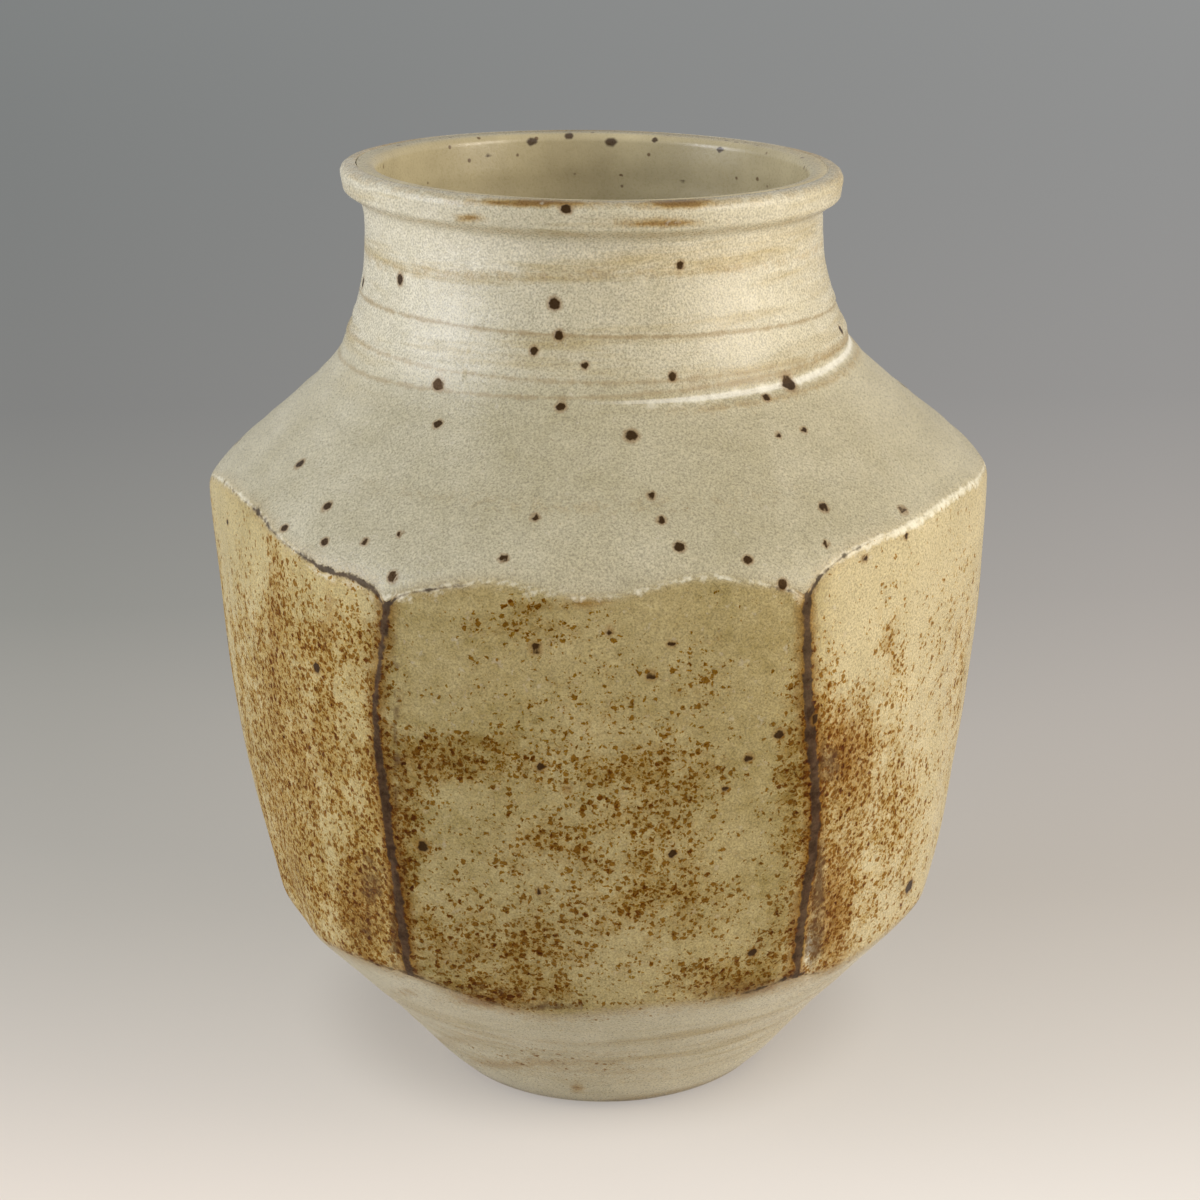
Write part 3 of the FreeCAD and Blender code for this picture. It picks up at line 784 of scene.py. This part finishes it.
burn_foot = soft_curve([
    (-90, 0.4), (-66, 0.7), (-58, 0.3), (-50, 0.5), (-40, 0.6), (-31, 0.7), (-22, 0.5), (-10, 0.4),
    (0, 0.2), (12, 0.3), (20, 0.6), (31, 0.9), (40, 0.4), (55, 0.3), (66, 0.6), (90, 0.5), (120, 0.3),
    (150, 0.9), (180, 0.3), (210, 0.8), (240, 0.3), (270, 0.4),
], 2, wraps=True)
front_veil = [
    (828, 762, 15, 22, 0.9), (818, 880, 9, 70, 1.0), (811, 948, 10, 22, 1.0), (838, 800, 14, 14, 0.3),
    (396, 740, 4, 110, 0.8), (372, 885, 16, 34, 0.75), (397, 930, 8, 44, 0.9), (362, 935, 24, 20, 0.45),
    (548, 1006, 40, 5, 0.9), (480, 990, 50, 8, 0.5), (345, 690, 8, 20, 0.35), (325, 640, 5, 16, 0.5),
    (265, 740, 12, 26, 0.4), (902, 880, 4, 26, 0.5),
]
back_veil = [
    (152, 70, 3, 22, 0.9), (208, 64, 4, 16, 0.9), (165, 56, 12, 3, 0.8), (240, 55, 12, 3, 0.7),
    (92, 70, 3, 20, 0.8), (269, 66, 3, 18, 0.8), (120, 100, 4, 12, 0.4), (222, 110, 4, 12, 0.4),
]
veil = laid(front_veil, back_veil)

FAR = 20.0
outer_marks = {
    "from_corner": np.where(on_facet > 0.02, from_corner, FAR),
    "veil": veil * on_facet,
    "corner_burn": burn,
    "above_top": edge_line,
    "top_burn": burn_top(wrapped),
    "above_fold": foot_fold,
    "fold_burn": burn_foot(wrapped),
    "speckle": np.clip(speckle, 0, 1.2),
    "amber": np.clip(amber, 0, 1.6),
    "tone_and_shade": np.clip(tone_and_shade, 0, 1),
    "cream_and_highlight": np.clip(cream_and_highlight, 0, 1),
    "warm": on_facet * np.interp(wrapped, [-180, -90, -34, -29, 29, 34, 90, 180],
                                 [0.6, 0.75, 0.85, 0.62, 0.62, 0.52, 0.52, 0.6]),
    "spot": spot_closeness,
    "spiral_gap": every_height - spiral_line(wrapped),
    "rib_gap": every_height - rib_line(wrapped),
    "collar_gap": every_height - collar_line(wrapped),
    "groove_gap": groove_gap / np.maximum(groove_width(wrapped), 0.3),
    "groove_fill": smooth_step(groove_width(wrapped), 0.45, 0.85),
}
for name, values in outer_marks.items():
    give(outer_glaze, name, values)
print("marks on the outer glaze:", ", ".join(outer_marks))

# %% [markdown]
# ## Building a material
# A node is added by one short function that also fills its inputs, so each material reads from top
# to bottom like a recipe. Colours are written as the eye and a colour picker see them and are made
# linear for the renderer.

# %% Helpers for materials


def linear(hex_colour):
    """sRGB hex to linear: ((c + 0.055) / 1.055) to the power 2.4, or c / 12.92 for very dark values."""
    value = np.array([int(hex_colour[i:i + 2], 16) for i in (1, 3, 5)]) / 255
    value = np.where(value > 0.04045, ((value + 0.055) / 1.055) ** 2.4, value / 12.92)
    return (*value.tolist(), 1.0)


def new_material(name):
    """An empty material with its node tree ready."""
    material = bpy.data.materials.new(name)
    material.use_nodes = True
    material.node_tree.nodes.clear()
    return material


def add(material, kind, inputs=(), output=0, **settings):
    """Add one node, apply its settings, fill its inputs in order or by name, and return one output.
    A Mix mixes colours here: its list is the factor and two colours, at inputs 0, 6 and 7."""
    node = material.node_tree.nodes.new("ShaderNode" + kind)
    if kind == "Mix":
        node.data_type, inputs, output = "RGBA", dict(zip((0, 6, 7), inputs)), 2
    for key, value in settings.items():
        setattr(node, key, value)
    for key, value in inputs.items() if isinstance(inputs, dict) else enumerate(inputs):
        if isinstance(value, bpy.types.NodeSocket):
            material.node_tree.links.new(value, node.inputs[key])
        else:
            node.inputs[key].default_value = value
    return node.outputs[output]


def finish_with(material, shader):
    """Join a shader to the material's output."""
    output = material.node_tree.nodes.new("ShaderNodeOutputMaterial")
    material.node_tree.links.new(shader, output.inputs["Surface"])


print("ready to build materials")

# %% [markdown]
# ## Oatmeal glaze
# A semi-matt magnesia glaze over iron-bearing stoneware. Fired to cone 10 it is cream where thick and
# grey green where thin. Fine crystals give it a sugary grain about half a millimetre across, and
# iron from the clay comes up as amber speckle and dark spots.

# %% Outer glaze material
glaze = new_material("semi_matt_oatmeal_glaze")
here = add(glaze, "TexCoord", output="Object")
marks = {name: add(glaze, "Attribute", output="Fac", attribute_name=name) for name in outer_marks}

# Noise scales are one over the size of a blotch in metres.
cloud = add(glaze, "TexNoise", {"Vector": here, "Scale": 60.0, "Detail": 4.0, "Roughness": 0.6})
mottle = add(glaze, "TexNoise", {"Vector": here, "Scale": 330.0, "Detail": 3.0, "Roughness": 0.65})
grain = add(glaze, "TexNoise", {"Vector": here, "Scale": 2100.0, "Detail": 2.0, "Roughness": 0.7})
ragged = add(glaze, "TexNoise", {"Vector": here, "Scale": 420.0, "Detail": 4.0, "Roughness": 0.7})

cloud_shift = add(glaze, "MapRange", [cloud, 0.3, 0.7, -0.14, 0.14])
tone_here = add(glaze, "Math", [marks["tone_and_shade"], cloud_shift], operation="ADD", use_clamp=True)
base = add(glaze, "Mix", [tone_here, linear("#8A8058"), linear("#C9C3AE")])
mottle_amount = add(glaze, "MapRange", [mottle, 0.38, 0.62, 0.0, 0.35])
base = add(glaze, "Mix", [mottle_amount, base, linear("#B5AE92")])
grain_amount = add(glaze, "MapRange", [grain, 0.36, 0.64, 0.75, 1.24])
base = add(glaze, "VectorMath", {0: base, 3: grain_amount}, operation="SCALE")

# The cut faces were bare a little longer before the dip and fired a warmer colour.
base = add(glaze, "Mix", [marks["warm"], base, linear("#FFEFC0")], blend_type="MULTIPLY")

# Neck and foot carry faint tan bands left by the wheel, far longer round the jar than tall.
turned = add(glaze, "VectorMath", [here, (14.0, 14.0, 150.0)], operation="MULTIPLY")
turned = add(glaze, "TexNoise", {"Vector": turned, "Scale": 1.0, "Detail": 4.0, "Roughness": 0.65})
height_here = add(glaze, "SeparateXYZ", [here], output="Z")
on_band = add(glaze, "MapRange", [height_here, 0.178, 0.188, 0.0, 0.75])
off_foot = add(glaze, "MapRange", [height_here, 0.032, 0.042, 0.9, 0.0])
on_band = add(glaze, "Math", [on_band, off_foot], operation="MAXIMUM")
turned = add(glaze, "MapRange", [turned, 0.48, 0.66, 0.0, 1.0])
turned = add(glaze, "Math", [turned, on_band], operation="MULTIPLY")
base = add(glaze, "Mix", [turned, base, linear("#DCCDA6")], blend_type="MULTIPLY")

# Amber: the glaze is thin and iron stains it. Ragged noise breaks its border.
amber_edge = add(glaze, "MapRange", [ragged, 0.3, 0.7, -0.30, 0.30])
amber_here = add(glaze, "Math", [marks["amber"], amber_edge], operation="ADD", use_clamp=True)
amber_here = add(glaze, "MapRange", [amber_here, 0.12, 0.95, 0.0, 0.85])
colour = add(glaze, "Mix", [amber_here, base, linear("#CEAA54")], blend_type="MULTIPLY")
deep = add(glaze, "Math", [marks["amber"], amber_edge], operation="ADD")
deep = add(glaze, "MapRange", [deep, 0.75, 1.3, 0.0, 0.7])
colour = add(glaze, "Mix", [deep, colour, linear("#664208")])
# Cream: the white glaze in the groove and pale slivers, and a painted highlight along the right facet's top
# edge.
cream_and_highlight_here = add(glaze, "Math", [marks["cream_and_highlight"], amber_edge], operation="ADD", use_clamp=True)
cream_and_highlight_here = add(glaze, "MapRange", [cream_and_highlight_here, 0.15, 0.6, 0.0, 0.9])
colour = add(glaze, "Mix", [cream_and_highlight_here, colour, linear("#E6E4D2")])

# Thin turning lines round the neck, about 0.8 mm wide, drawn by their distance in mm.
for gap, half_width, strength in (
        ("spiral_gap", 0.40, 0.62), ("rib_gap", 0.35, 0.42), ("collar_gap", 0.35, 0.50)):
    away = add(glaze, "Math", [marks[gap]], operation="ABSOLUTE")
    away = add(glaze, "Math", [away, add(glaze, "MapRange", [mottle, 0.3, 0.7, -0.3, 0.5])],
               operation="ADD")
    drawn = add(glaze, "MapRange", [away, half_width + 0.4, half_width - 0.2, 0.0, strength])
    colour = add(glaze, "Mix", [drawn, colour, linear("#94805A")])
away = add(glaze, "Math", [marks["groove_gap"]], operation="ABSOLUTE")
drawn = add(glaze, "MapRange", [away, 0.72, 0.30, 0.0, 0.5])
drawn = add(glaze, "Math", [drawn, marks["groove_fill"]], operation="MULTIPLY")
colour = add(glaze, "Mix", [drawn, colour, linear("#E9E8E0")])

# Speckle: the density mark is broken up by clouds of about 6 mm. Where it is high the glaze is
# stained amber, and cells of 1.8, 1.2, 0.8 and 2.5 mm hold a round fleck as often as it says.
gather = add(glaze, "TexNoise", {"Vector": here, "Scale": 170.0, "Detail": 3.0, "Roughness": 0.6})
gather = add(glaze, "MapRange", [gather, 0.32, 0.68, -0.42, 0.30])
dense = add(glaze, "Math", [marks["speckle"], gather], operation="MULTIPLY")
dense = add(glaze, "Math", [dense, marks["speckle"]], operation="ADD", use_clamp=True)
stain = add(glaze, "Math", [dense, amber_edge], operation="ADD")
stain = add(glaze, "MapRange", [stain, 0.45, 1.2, 0.0, 0.75])
colour = add(glaze, "Mix", [stain, colour, linear("#CFB260")], blend_type="MULTIPLY")
wander = add(glaze, "TexNoise", {"Vector": here, "Scale": 900.0, "Detail": 2.0}, output="Color")
wander = add(glaze, "VectorMath", {0: wander, 3: 0.0019}, operation="SCALE")
bent = add(glaze, "VectorMath", [here, wander], operation="ADD")
flecks = stain
for cell_scale, dot, reach, hex_dot in ((560.0, 0.46, 0.82, "#B68F2C"), (820.0, 0.48, 0.90, "#BC9636"),
                                        (1300.0, 0.46, 0.85, "#C4A84C"), (400.0, 0.32, 0.30, "#967826")):
    cells = add(glaze, "TexVoronoi", {"Vector": bent, "Scale": cell_scale}, output="Distance")
    draw = add(glaze, "TexVoronoi", {"Vector": bent, "Scale": cell_scale}, output="Color")
    draw = add(glaze, "SeparateColor", [draw])
    wanted = add(glaze, "MapRange", [dense, 0.05, 1.0, 0.02, reach])
    holds = add(glaze, "Math", [wanted, draw], operation="SUBTRACT")
    size = add(glaze, "MapRange", [holds, -0.02, 0.35, 0.0, dot])
    inside = add(glaze, "Math", [size, cells], operation="SUBTRACT")
    amount = add(glaze, "MapRange", [inside, -0.02, 0.09, 0.0, 0.95])
    flecks = add(glaze, "Math", [flecks, amount], operation="MAXIMUM")
    colour = add(glaze, "Mix", [amount, colour, linear(hex_dot)], blend_type="MULTIPLY")

# Where it is thinnest the glaze lets a dry purple brown through, in streaks rather than solid.
veil_edge = add(glaze, "MapRange", [ragged, 0.3, 0.7, -0.45, 0.45])
veiled = add(glaze, "Math", [marks["veil"], veil_edge], operation="ADD")
veiled = add(glaze, "MapRange", [veiled, 0.35, 1.0, 0.0, 0.80])
colour = add(glaze, "Mix", [veiled, colour, linear("#503B28")])

# Burnt edges: distance from the fold in mm, made ragged, against the strength there.
waver = add(glaze, "MapRange", [mottle, 0.3, 0.7, -0.6, 0.6])
burnt = None
for distance, strength, half_width, glow in ((marks["from_corner"], marks["corner_burn"], 0.85, 0.85),
                                             (marks["above_top"], marks["top_burn"], 0.5, 0.30),
                                             (marks["above_fold"], marks["fold_burn"], 0.6, 0.70)):
    away = add(glaze, "Math", [distance], operation="ABSOLUTE")
    away = add(glaze, "Math", [away, waver], operation="ADD")
    wider = add(glaze, "MapRange", [strength, 0.5, 1.5, 0.3, -0.5])
    away = add(glaze, "Math", [away, wider], operation="ADD")
    halo = add(glaze, "MapRange", [away, half_width + 2.6, half_width, 0.0, glow])
    halo = add(glaze, "Math", [halo, strength], operation="MULTIPLY", use_clamp=True)
    colour = add(glaze, "Mix", [halo, colour, linear("#C8A450")], blend_type="MULTIPLY")
    core = add(glaze, "MapRange", [away, half_width + 0.45, half_width - 0.55, 0.0, 1.0])
    core = add(glaze, "Math", [core, strength], operation="MULTIPLY", use_clamp=True)
    burnt = core if burnt is None else add(glaze, "Math", [burnt, core], operation="MAXIMUM")
burnt = add(glaze, "MapRange", [burnt, 0.25, 0.8, 0.0, 0.92])
purple = add(glaze, "Mix", [mottle_amount, linear("#2E2219"), linear("#6E5846")])
colour = add(glaze, "Mix", [burnt, colour, purple])

# Iron spots: distance over radius is below one inside a spot, with a brown halo round it.
spot_wave = add(glaze, "MapRange", [ragged, 0.3, 0.7, -0.18, 0.18])
spot_away = add(glaze, "Math", [marks["spot"], spot_wave], operation="ADD")
spot_halo = add(glaze, "MapRange", [spot_away, 1.55, 0.95, 0.0, 0.6])
colour = add(glaze, "Mix", [spot_halo, colour, linear("#7C5820")])
spot_core = add(glaze, "MapRange", [spot_away, 1.0, 0.8, 0.0, 0.95])
colour = add(glaze, "Mix", [spot_core, colour, linear("#28190A")])

rough = add(glaze, "MapRange", [grain, 0.35, 0.65, 0.26, 0.50])
# Where the glaze is thick, as on the neck, it runs smooth and shines more.
thick = add(glaze, "MapRange", [marks["tone_and_shade"], 0.5, 0.95, 1.0, 0.74])
rough = add(glaze, "Math", [rough, thick], operation="MULTIPLY")
# Iron-rich places are dry and matt, so dark marks don't catch the lamps.
dry = add(glaze, "Math", [burnt, veiled], operation="MAXIMUM")
dry = add(glaze, "Math", [dry, stain], operation="MAXIMUM")
rough = add(glaze, "MapRange", [dry, 0.0, 0.7, rough, 0.85])
# Iron crystals in the thin glaze gleam gold, not white.
iron = add(glaze, "Math", [flecks, spot_core], operation="MAXIMUM", use_clamp=True)
gleam = add(glaze, "Mix", [iron, linear("#FFFFFF"), linear("#A8742C")])
gleam = add(glaze, "Mix", [marks["warm"], gleam, linear("#D0B070")], blend_type="MULTIPLY")
fine_bump = add(glaze, "Bump", {"Height": grain, "Distance": 0.00016, "Strength": 0.75})
all_bump = add(glaze, "Bump", {"Height": mottle, "Distance": 0.00025, "Strength": 0.5, "Normal": fine_bump})
all_bump = add(glaze, "Bump", {"Height": spot_core, "Distance": 0.0002, "Strength": 0.6, "Normal": all_bump})
shader = add(glaze, "BsdfPrincipled", {"Base Color": colour, "Roughness": rough, "IOR": 1.46,
                                         "Specular Tint": gleam, "Normal": all_bump})
finish_with(glaze, shader)
outer_glaze.data.materials.append(glaze)
print(glaze.name, "nodes", len(glaze.node_tree.nodes))

# %% [markdown]
# ## Liner glaze
# The same glaze poured thinner inside and quickly out again. It is greyer and smoother, and light
# slides down the neck in two soft streaks.

# %% Liner material
liner = new_material("satin_liner_glaze")
here = add(liner, "TexCoord", output="Object")
cloud = add(liner, "TexNoise", {"Vector": here, "Scale": 70.0, "Detail": 4.0, "Roughness": 0.6})
grain = add(liner, "TexNoise", {"Vector": here, "Scale": 1300.0, "Detail": 2.0, "Roughness": 0.7})
colour = add(liner, "Mix", [cloud, linear("#9A8E6E"), linear("#D0C49E")])
cells = add(liner, "TexVoronoi", {"Vector": here, "Scale": 420.0}, output="Distance")
draw = add(liner, "TexVoronoi", {"Vector": here, "Scale": 420.0}, output="Color")
draw = add(liner, "SeparateColor", [draw])
dots = add(liner, "MapRange", [cells, 0.26, 0.18, 0.0, 0.8])
chosen = add(liner, "Math", [draw, 0.16], operation="LESS_THAN")
dots = add(liner, "Math", [dots, chosen], operation="MULTIPLY")
colour = add(liner, "Mix", [dots, colour, linear("#5A3E20")])
spot = add(liner, "Attribute", output="Fac", attribute_name="spot")
spot = add(liner, "MapRange", [spot, 1.2, 0.8, 0.0, 0.92])
colour = add(liner, "Mix", [spot, colour, linear("#3A2410")])
rough = add(liner, "MapRange", [grain, 0.35, 0.65, 0.22, 0.40])
relief = add(liner, "Bump", {"Height": grain, "Distance": 0.0001, "Strength": 0.4})
finish_with(liner, add(liner, "BsdfPrincipled", {
    "Base Color": colour, "Roughness": rough, "IOR": 1.52, "Normal": relief}))
liner_glaze.data.materials.append(liner)
liner_x, liner_y = seen_at(liner_grid)
liner_spot = np.full(liner_x.shape, NO_SPOT)
for spot_x, spot_y, spot_size in (
        (611, 143, 6.5), (488, 153, 5), (532, 142, 5.5), (569, 136, 4.5), (682, 184, 5), (440, 165, 3.5),
        (655, 140, 3.5), (720, 150, 4)):
    liner_spot = np.minimum(liner_spot, np.hypot(liner_x - spot_x, (liner_y - spot_y) * 1.2) / spot_size)
give(liner_glaze, "spot", np.where(liner_grid[..., 1] > 5, liner_spot, NO_SPOT))
print(liner.name, "nodes", len(liner.node_tree.nodes))

# %% [markdown]
# ## Bare clay and slip
# The foot was wiped clean so that the jar would not stick to the kiln shelf. The bare clay fired to
# a toasted brown with grit of about a millimetre. The slip in the joints is the same clay,
# finer and paler.

# %% Clay and slip materials
for name, pale, dark, grit, pieces in (
        ("toasted_stoneware", "#A9825E", "#7C573A", 900.0, (lower_bowl, upper_bowl, neck_clay)),
        ("fired_joining_slip", "#B89A78", "#97795A", 1600.0, (belly_joint, neck_joint))):
    clay = new_material(name)
    here = add(clay, "TexCoord", output="Object")
    toast = add(clay, "TexNoise", {"Vector": here, "Scale": 90.0, "Detail": 5.0, "Roughness": 0.65})
    sand = add(clay, "TexNoise", {"Vector": here, "Scale": grit, "Detail": 2.0, "Roughness": 0.7})
    colour = add(clay, "Mix", [toast, linear(dark), linear(pale)])
    shade = add(clay, "MapRange", [sand, 0.35, 0.65, 0.78, 1.12])
    colour = add(clay, "VectorMath", {0: colour, 3: shade}, operation="SCALE")
    relief = add(clay, "Bump", {"Height": sand, "Distance": 0.0002, "Strength": 0.7})
    rough = add(clay, "MapRange", [sand, 0.3, 0.7, 0.78, 0.95])
    finish_with(clay, add(clay, "BsdfPrincipled", {
        "Base Color": colour, "Roughness": rough, "Normal": relief}))
    for piece in pieces:
        piece.data.materials.append(clay)
    print(name, "on", [piece.name for piece in pieces])

# %% [markdown]
# ## Studio
# The jar stands on a pale table. For the camera, painted light on it fades to grey behind and is a little
# brighter on the right. Two large soft lamps stand left and right, almost beside the jar, so the facet that
# faces the viewer is the darkest of the three, helped by painted shade in the glaze's tone. An even
# pale room fills the shadows.

# %% Floor


def flat_floor(name, half_width, near, far):
    """One rectangle at height zero, from near to far in depth."""
    mesh = bpy.data.meshes.new(name)
    corners = [(-half_width, near, 0), (half_width, near, 0), (half_width, far, 0), (-half_width, far, 0)]
    mesh.from_pydata(corners, [], [(0, 1, 2, 3)])
    sheet = bpy.data.objects.new(name, mesh)
    bpy.context.scene.collection.objects.link(sheet)
    return sheet


floor = flat_floor("paper_floor", 25.0, -25.0, 25.0)
paper = new_material("pale_paper")
# Painted light on the floor: the camera sees the sheet glow, bright near the jar and falling to grey far
# behind, and a little brighter on the right, as lamp light falls off. Each stop is a nearness, a left colour
# and a right colour.
painted_light_stops = [(0.08, "#586266", "#72787B"), (0.234, "#3E4C52", "#666C70"), (0.317, "#4F5B5B", "#777979"),
              (0.45, "#8E8E88", "#9C9993"), (0.60, "#C6C0B8", "#CAC6BF")]
place = add(paper, "TexCoord", output="Object")
depth = add(paper, "SeparateXYZ", [place], output="Y")
sideways = add(paper, "SeparateXYZ", [place], output="X")
from_eye = add(paper, "Math", [depth, 0.588], operation="ADD")
from_eye = add(paper, "Math", [from_eye, 0.45], operation="MAXIMUM")
# One over the distance from the eye grows evenly down the picture, so it spaces the stops evenly.
nearness = add(paper, "Math", [0.3, from_eye], operation="DIVIDE")
across = add(paper, "Math", [sideways, from_eye], operation="DIVIDE")
right_share = add(paper, "MapRange", [across, -0.23, 0.23, 0.0, 1.0])
glow = []
for side in (1, 2):
    ramp = paper.node_tree.nodes.new("ShaderNodeValToRGB")
    paper.node_tree.links.new(nearness, ramp.inputs[0])
    first, last = ramp.color_ramp.elements
    first.position, first.color = painted_light_stops[0][0], linear(painted_light_stops[0][side])
    last.position, last.color = painted_light_stops[-1][0], linear(painted_light_stops[-1][side])
    for stop in painted_light_stops[1:-1]:
        ramp.color_ramp.elements.new(stop[0]).color = linear(stop[side])
    glow.append(ramp.outputs[0])
painted_light_colour = add(paper, "Mix", [right_share, glow[0], glow[1]])
seen = add(paper, "LightPath", output="Is Camera Ray")
mirrored = add(paper, "LightPath", output="Is Glossy Ray")
shown = add(paper, "Math", [seen, mirrored], operation="MAXIMUM")
# The camera sees a darker sheet, so the painted glow sets its brightness; other rays see it pale.
sheet_colour = add(paper, "Mix", [shown, linear("#EFEAE4"), linear("#8A827C")])
matt = add(paper, "BsdfDiffuse", {"Color": sheet_colour})
# Painted shadow: right under the belly and beside the foot the glow the camera sees is darkened, on top of
# the shadow the lamps cast.
from_foot = add(paper, "VectorMath", [place, (-0.004, 0.021, 0.0)], operation="SUBTRACT")
from_foot = add(paper, "VectorMath", [from_foot], output="Value", operation="LENGTH")
shade = add(paper, "MapRange", [from_foot, 0.050, 0.082, 0.70, 1.0],
            interpolation_type="SMOOTHSTEP")
shade = add(paper, "Math", [shade, shown], operation="MULTIPLY")
painted_floor_light = add(paper, "Emission", {"Color": painted_light_colour, "Strength": shade})
finish_with(paper, add(paper, "AddShader", [matt, painted_floor_light]))
floor.data.materials.append(paper)


def soft_lamp(name, azimuth, distance, height, width, tall, watts, hex_colour, aim=(0, 0, 0.12)):
    """Rectangular lamp on a circle round the jar, turned to look at the aim."""
    data = bpy.data.lights.new(name, "AREA")
    data.shape, data.size, data.size_y, data.energy = "RECTANGLE", width, tall, watts
    data.color = linear(hex_colour)[:3]
    lamp = bpy.data.objects.new(name, data)
    bpy.context.scene.collection.objects.link(lamp)
    angle = math.radians(azimuth)
    lamp.location = (distance * math.sin(angle), -distance * math.cos(angle), height)
    look = mathutils.Vector(aim) - lamp.location
    lamp.rotation_euler = look.to_track_quat("-Z", "Y").to_euler()
    return lamp


soft_lamp("soft_left", -74, 1.1, 0.50, 0.55, 0.84, 10.5, "#F4F7FF")
soft_lamp("soft_right", 68, 1.1, 0.50, 0.55, 0.84, 11.6, "#FFF5E6")
world = bpy.data.worlds.new("soft_room")
bpy.context.scene.world = world
world.use_nodes = True
world.node_tree.nodes["Background"].inputs["Color"].default_value = linear("#F4F2EF")
world.node_tree.nodes["Background"].inputs["Strength"].default_value = 0.50
bpy.context.scene.view_settings.view_transform = "Standard"
print("studio ready")
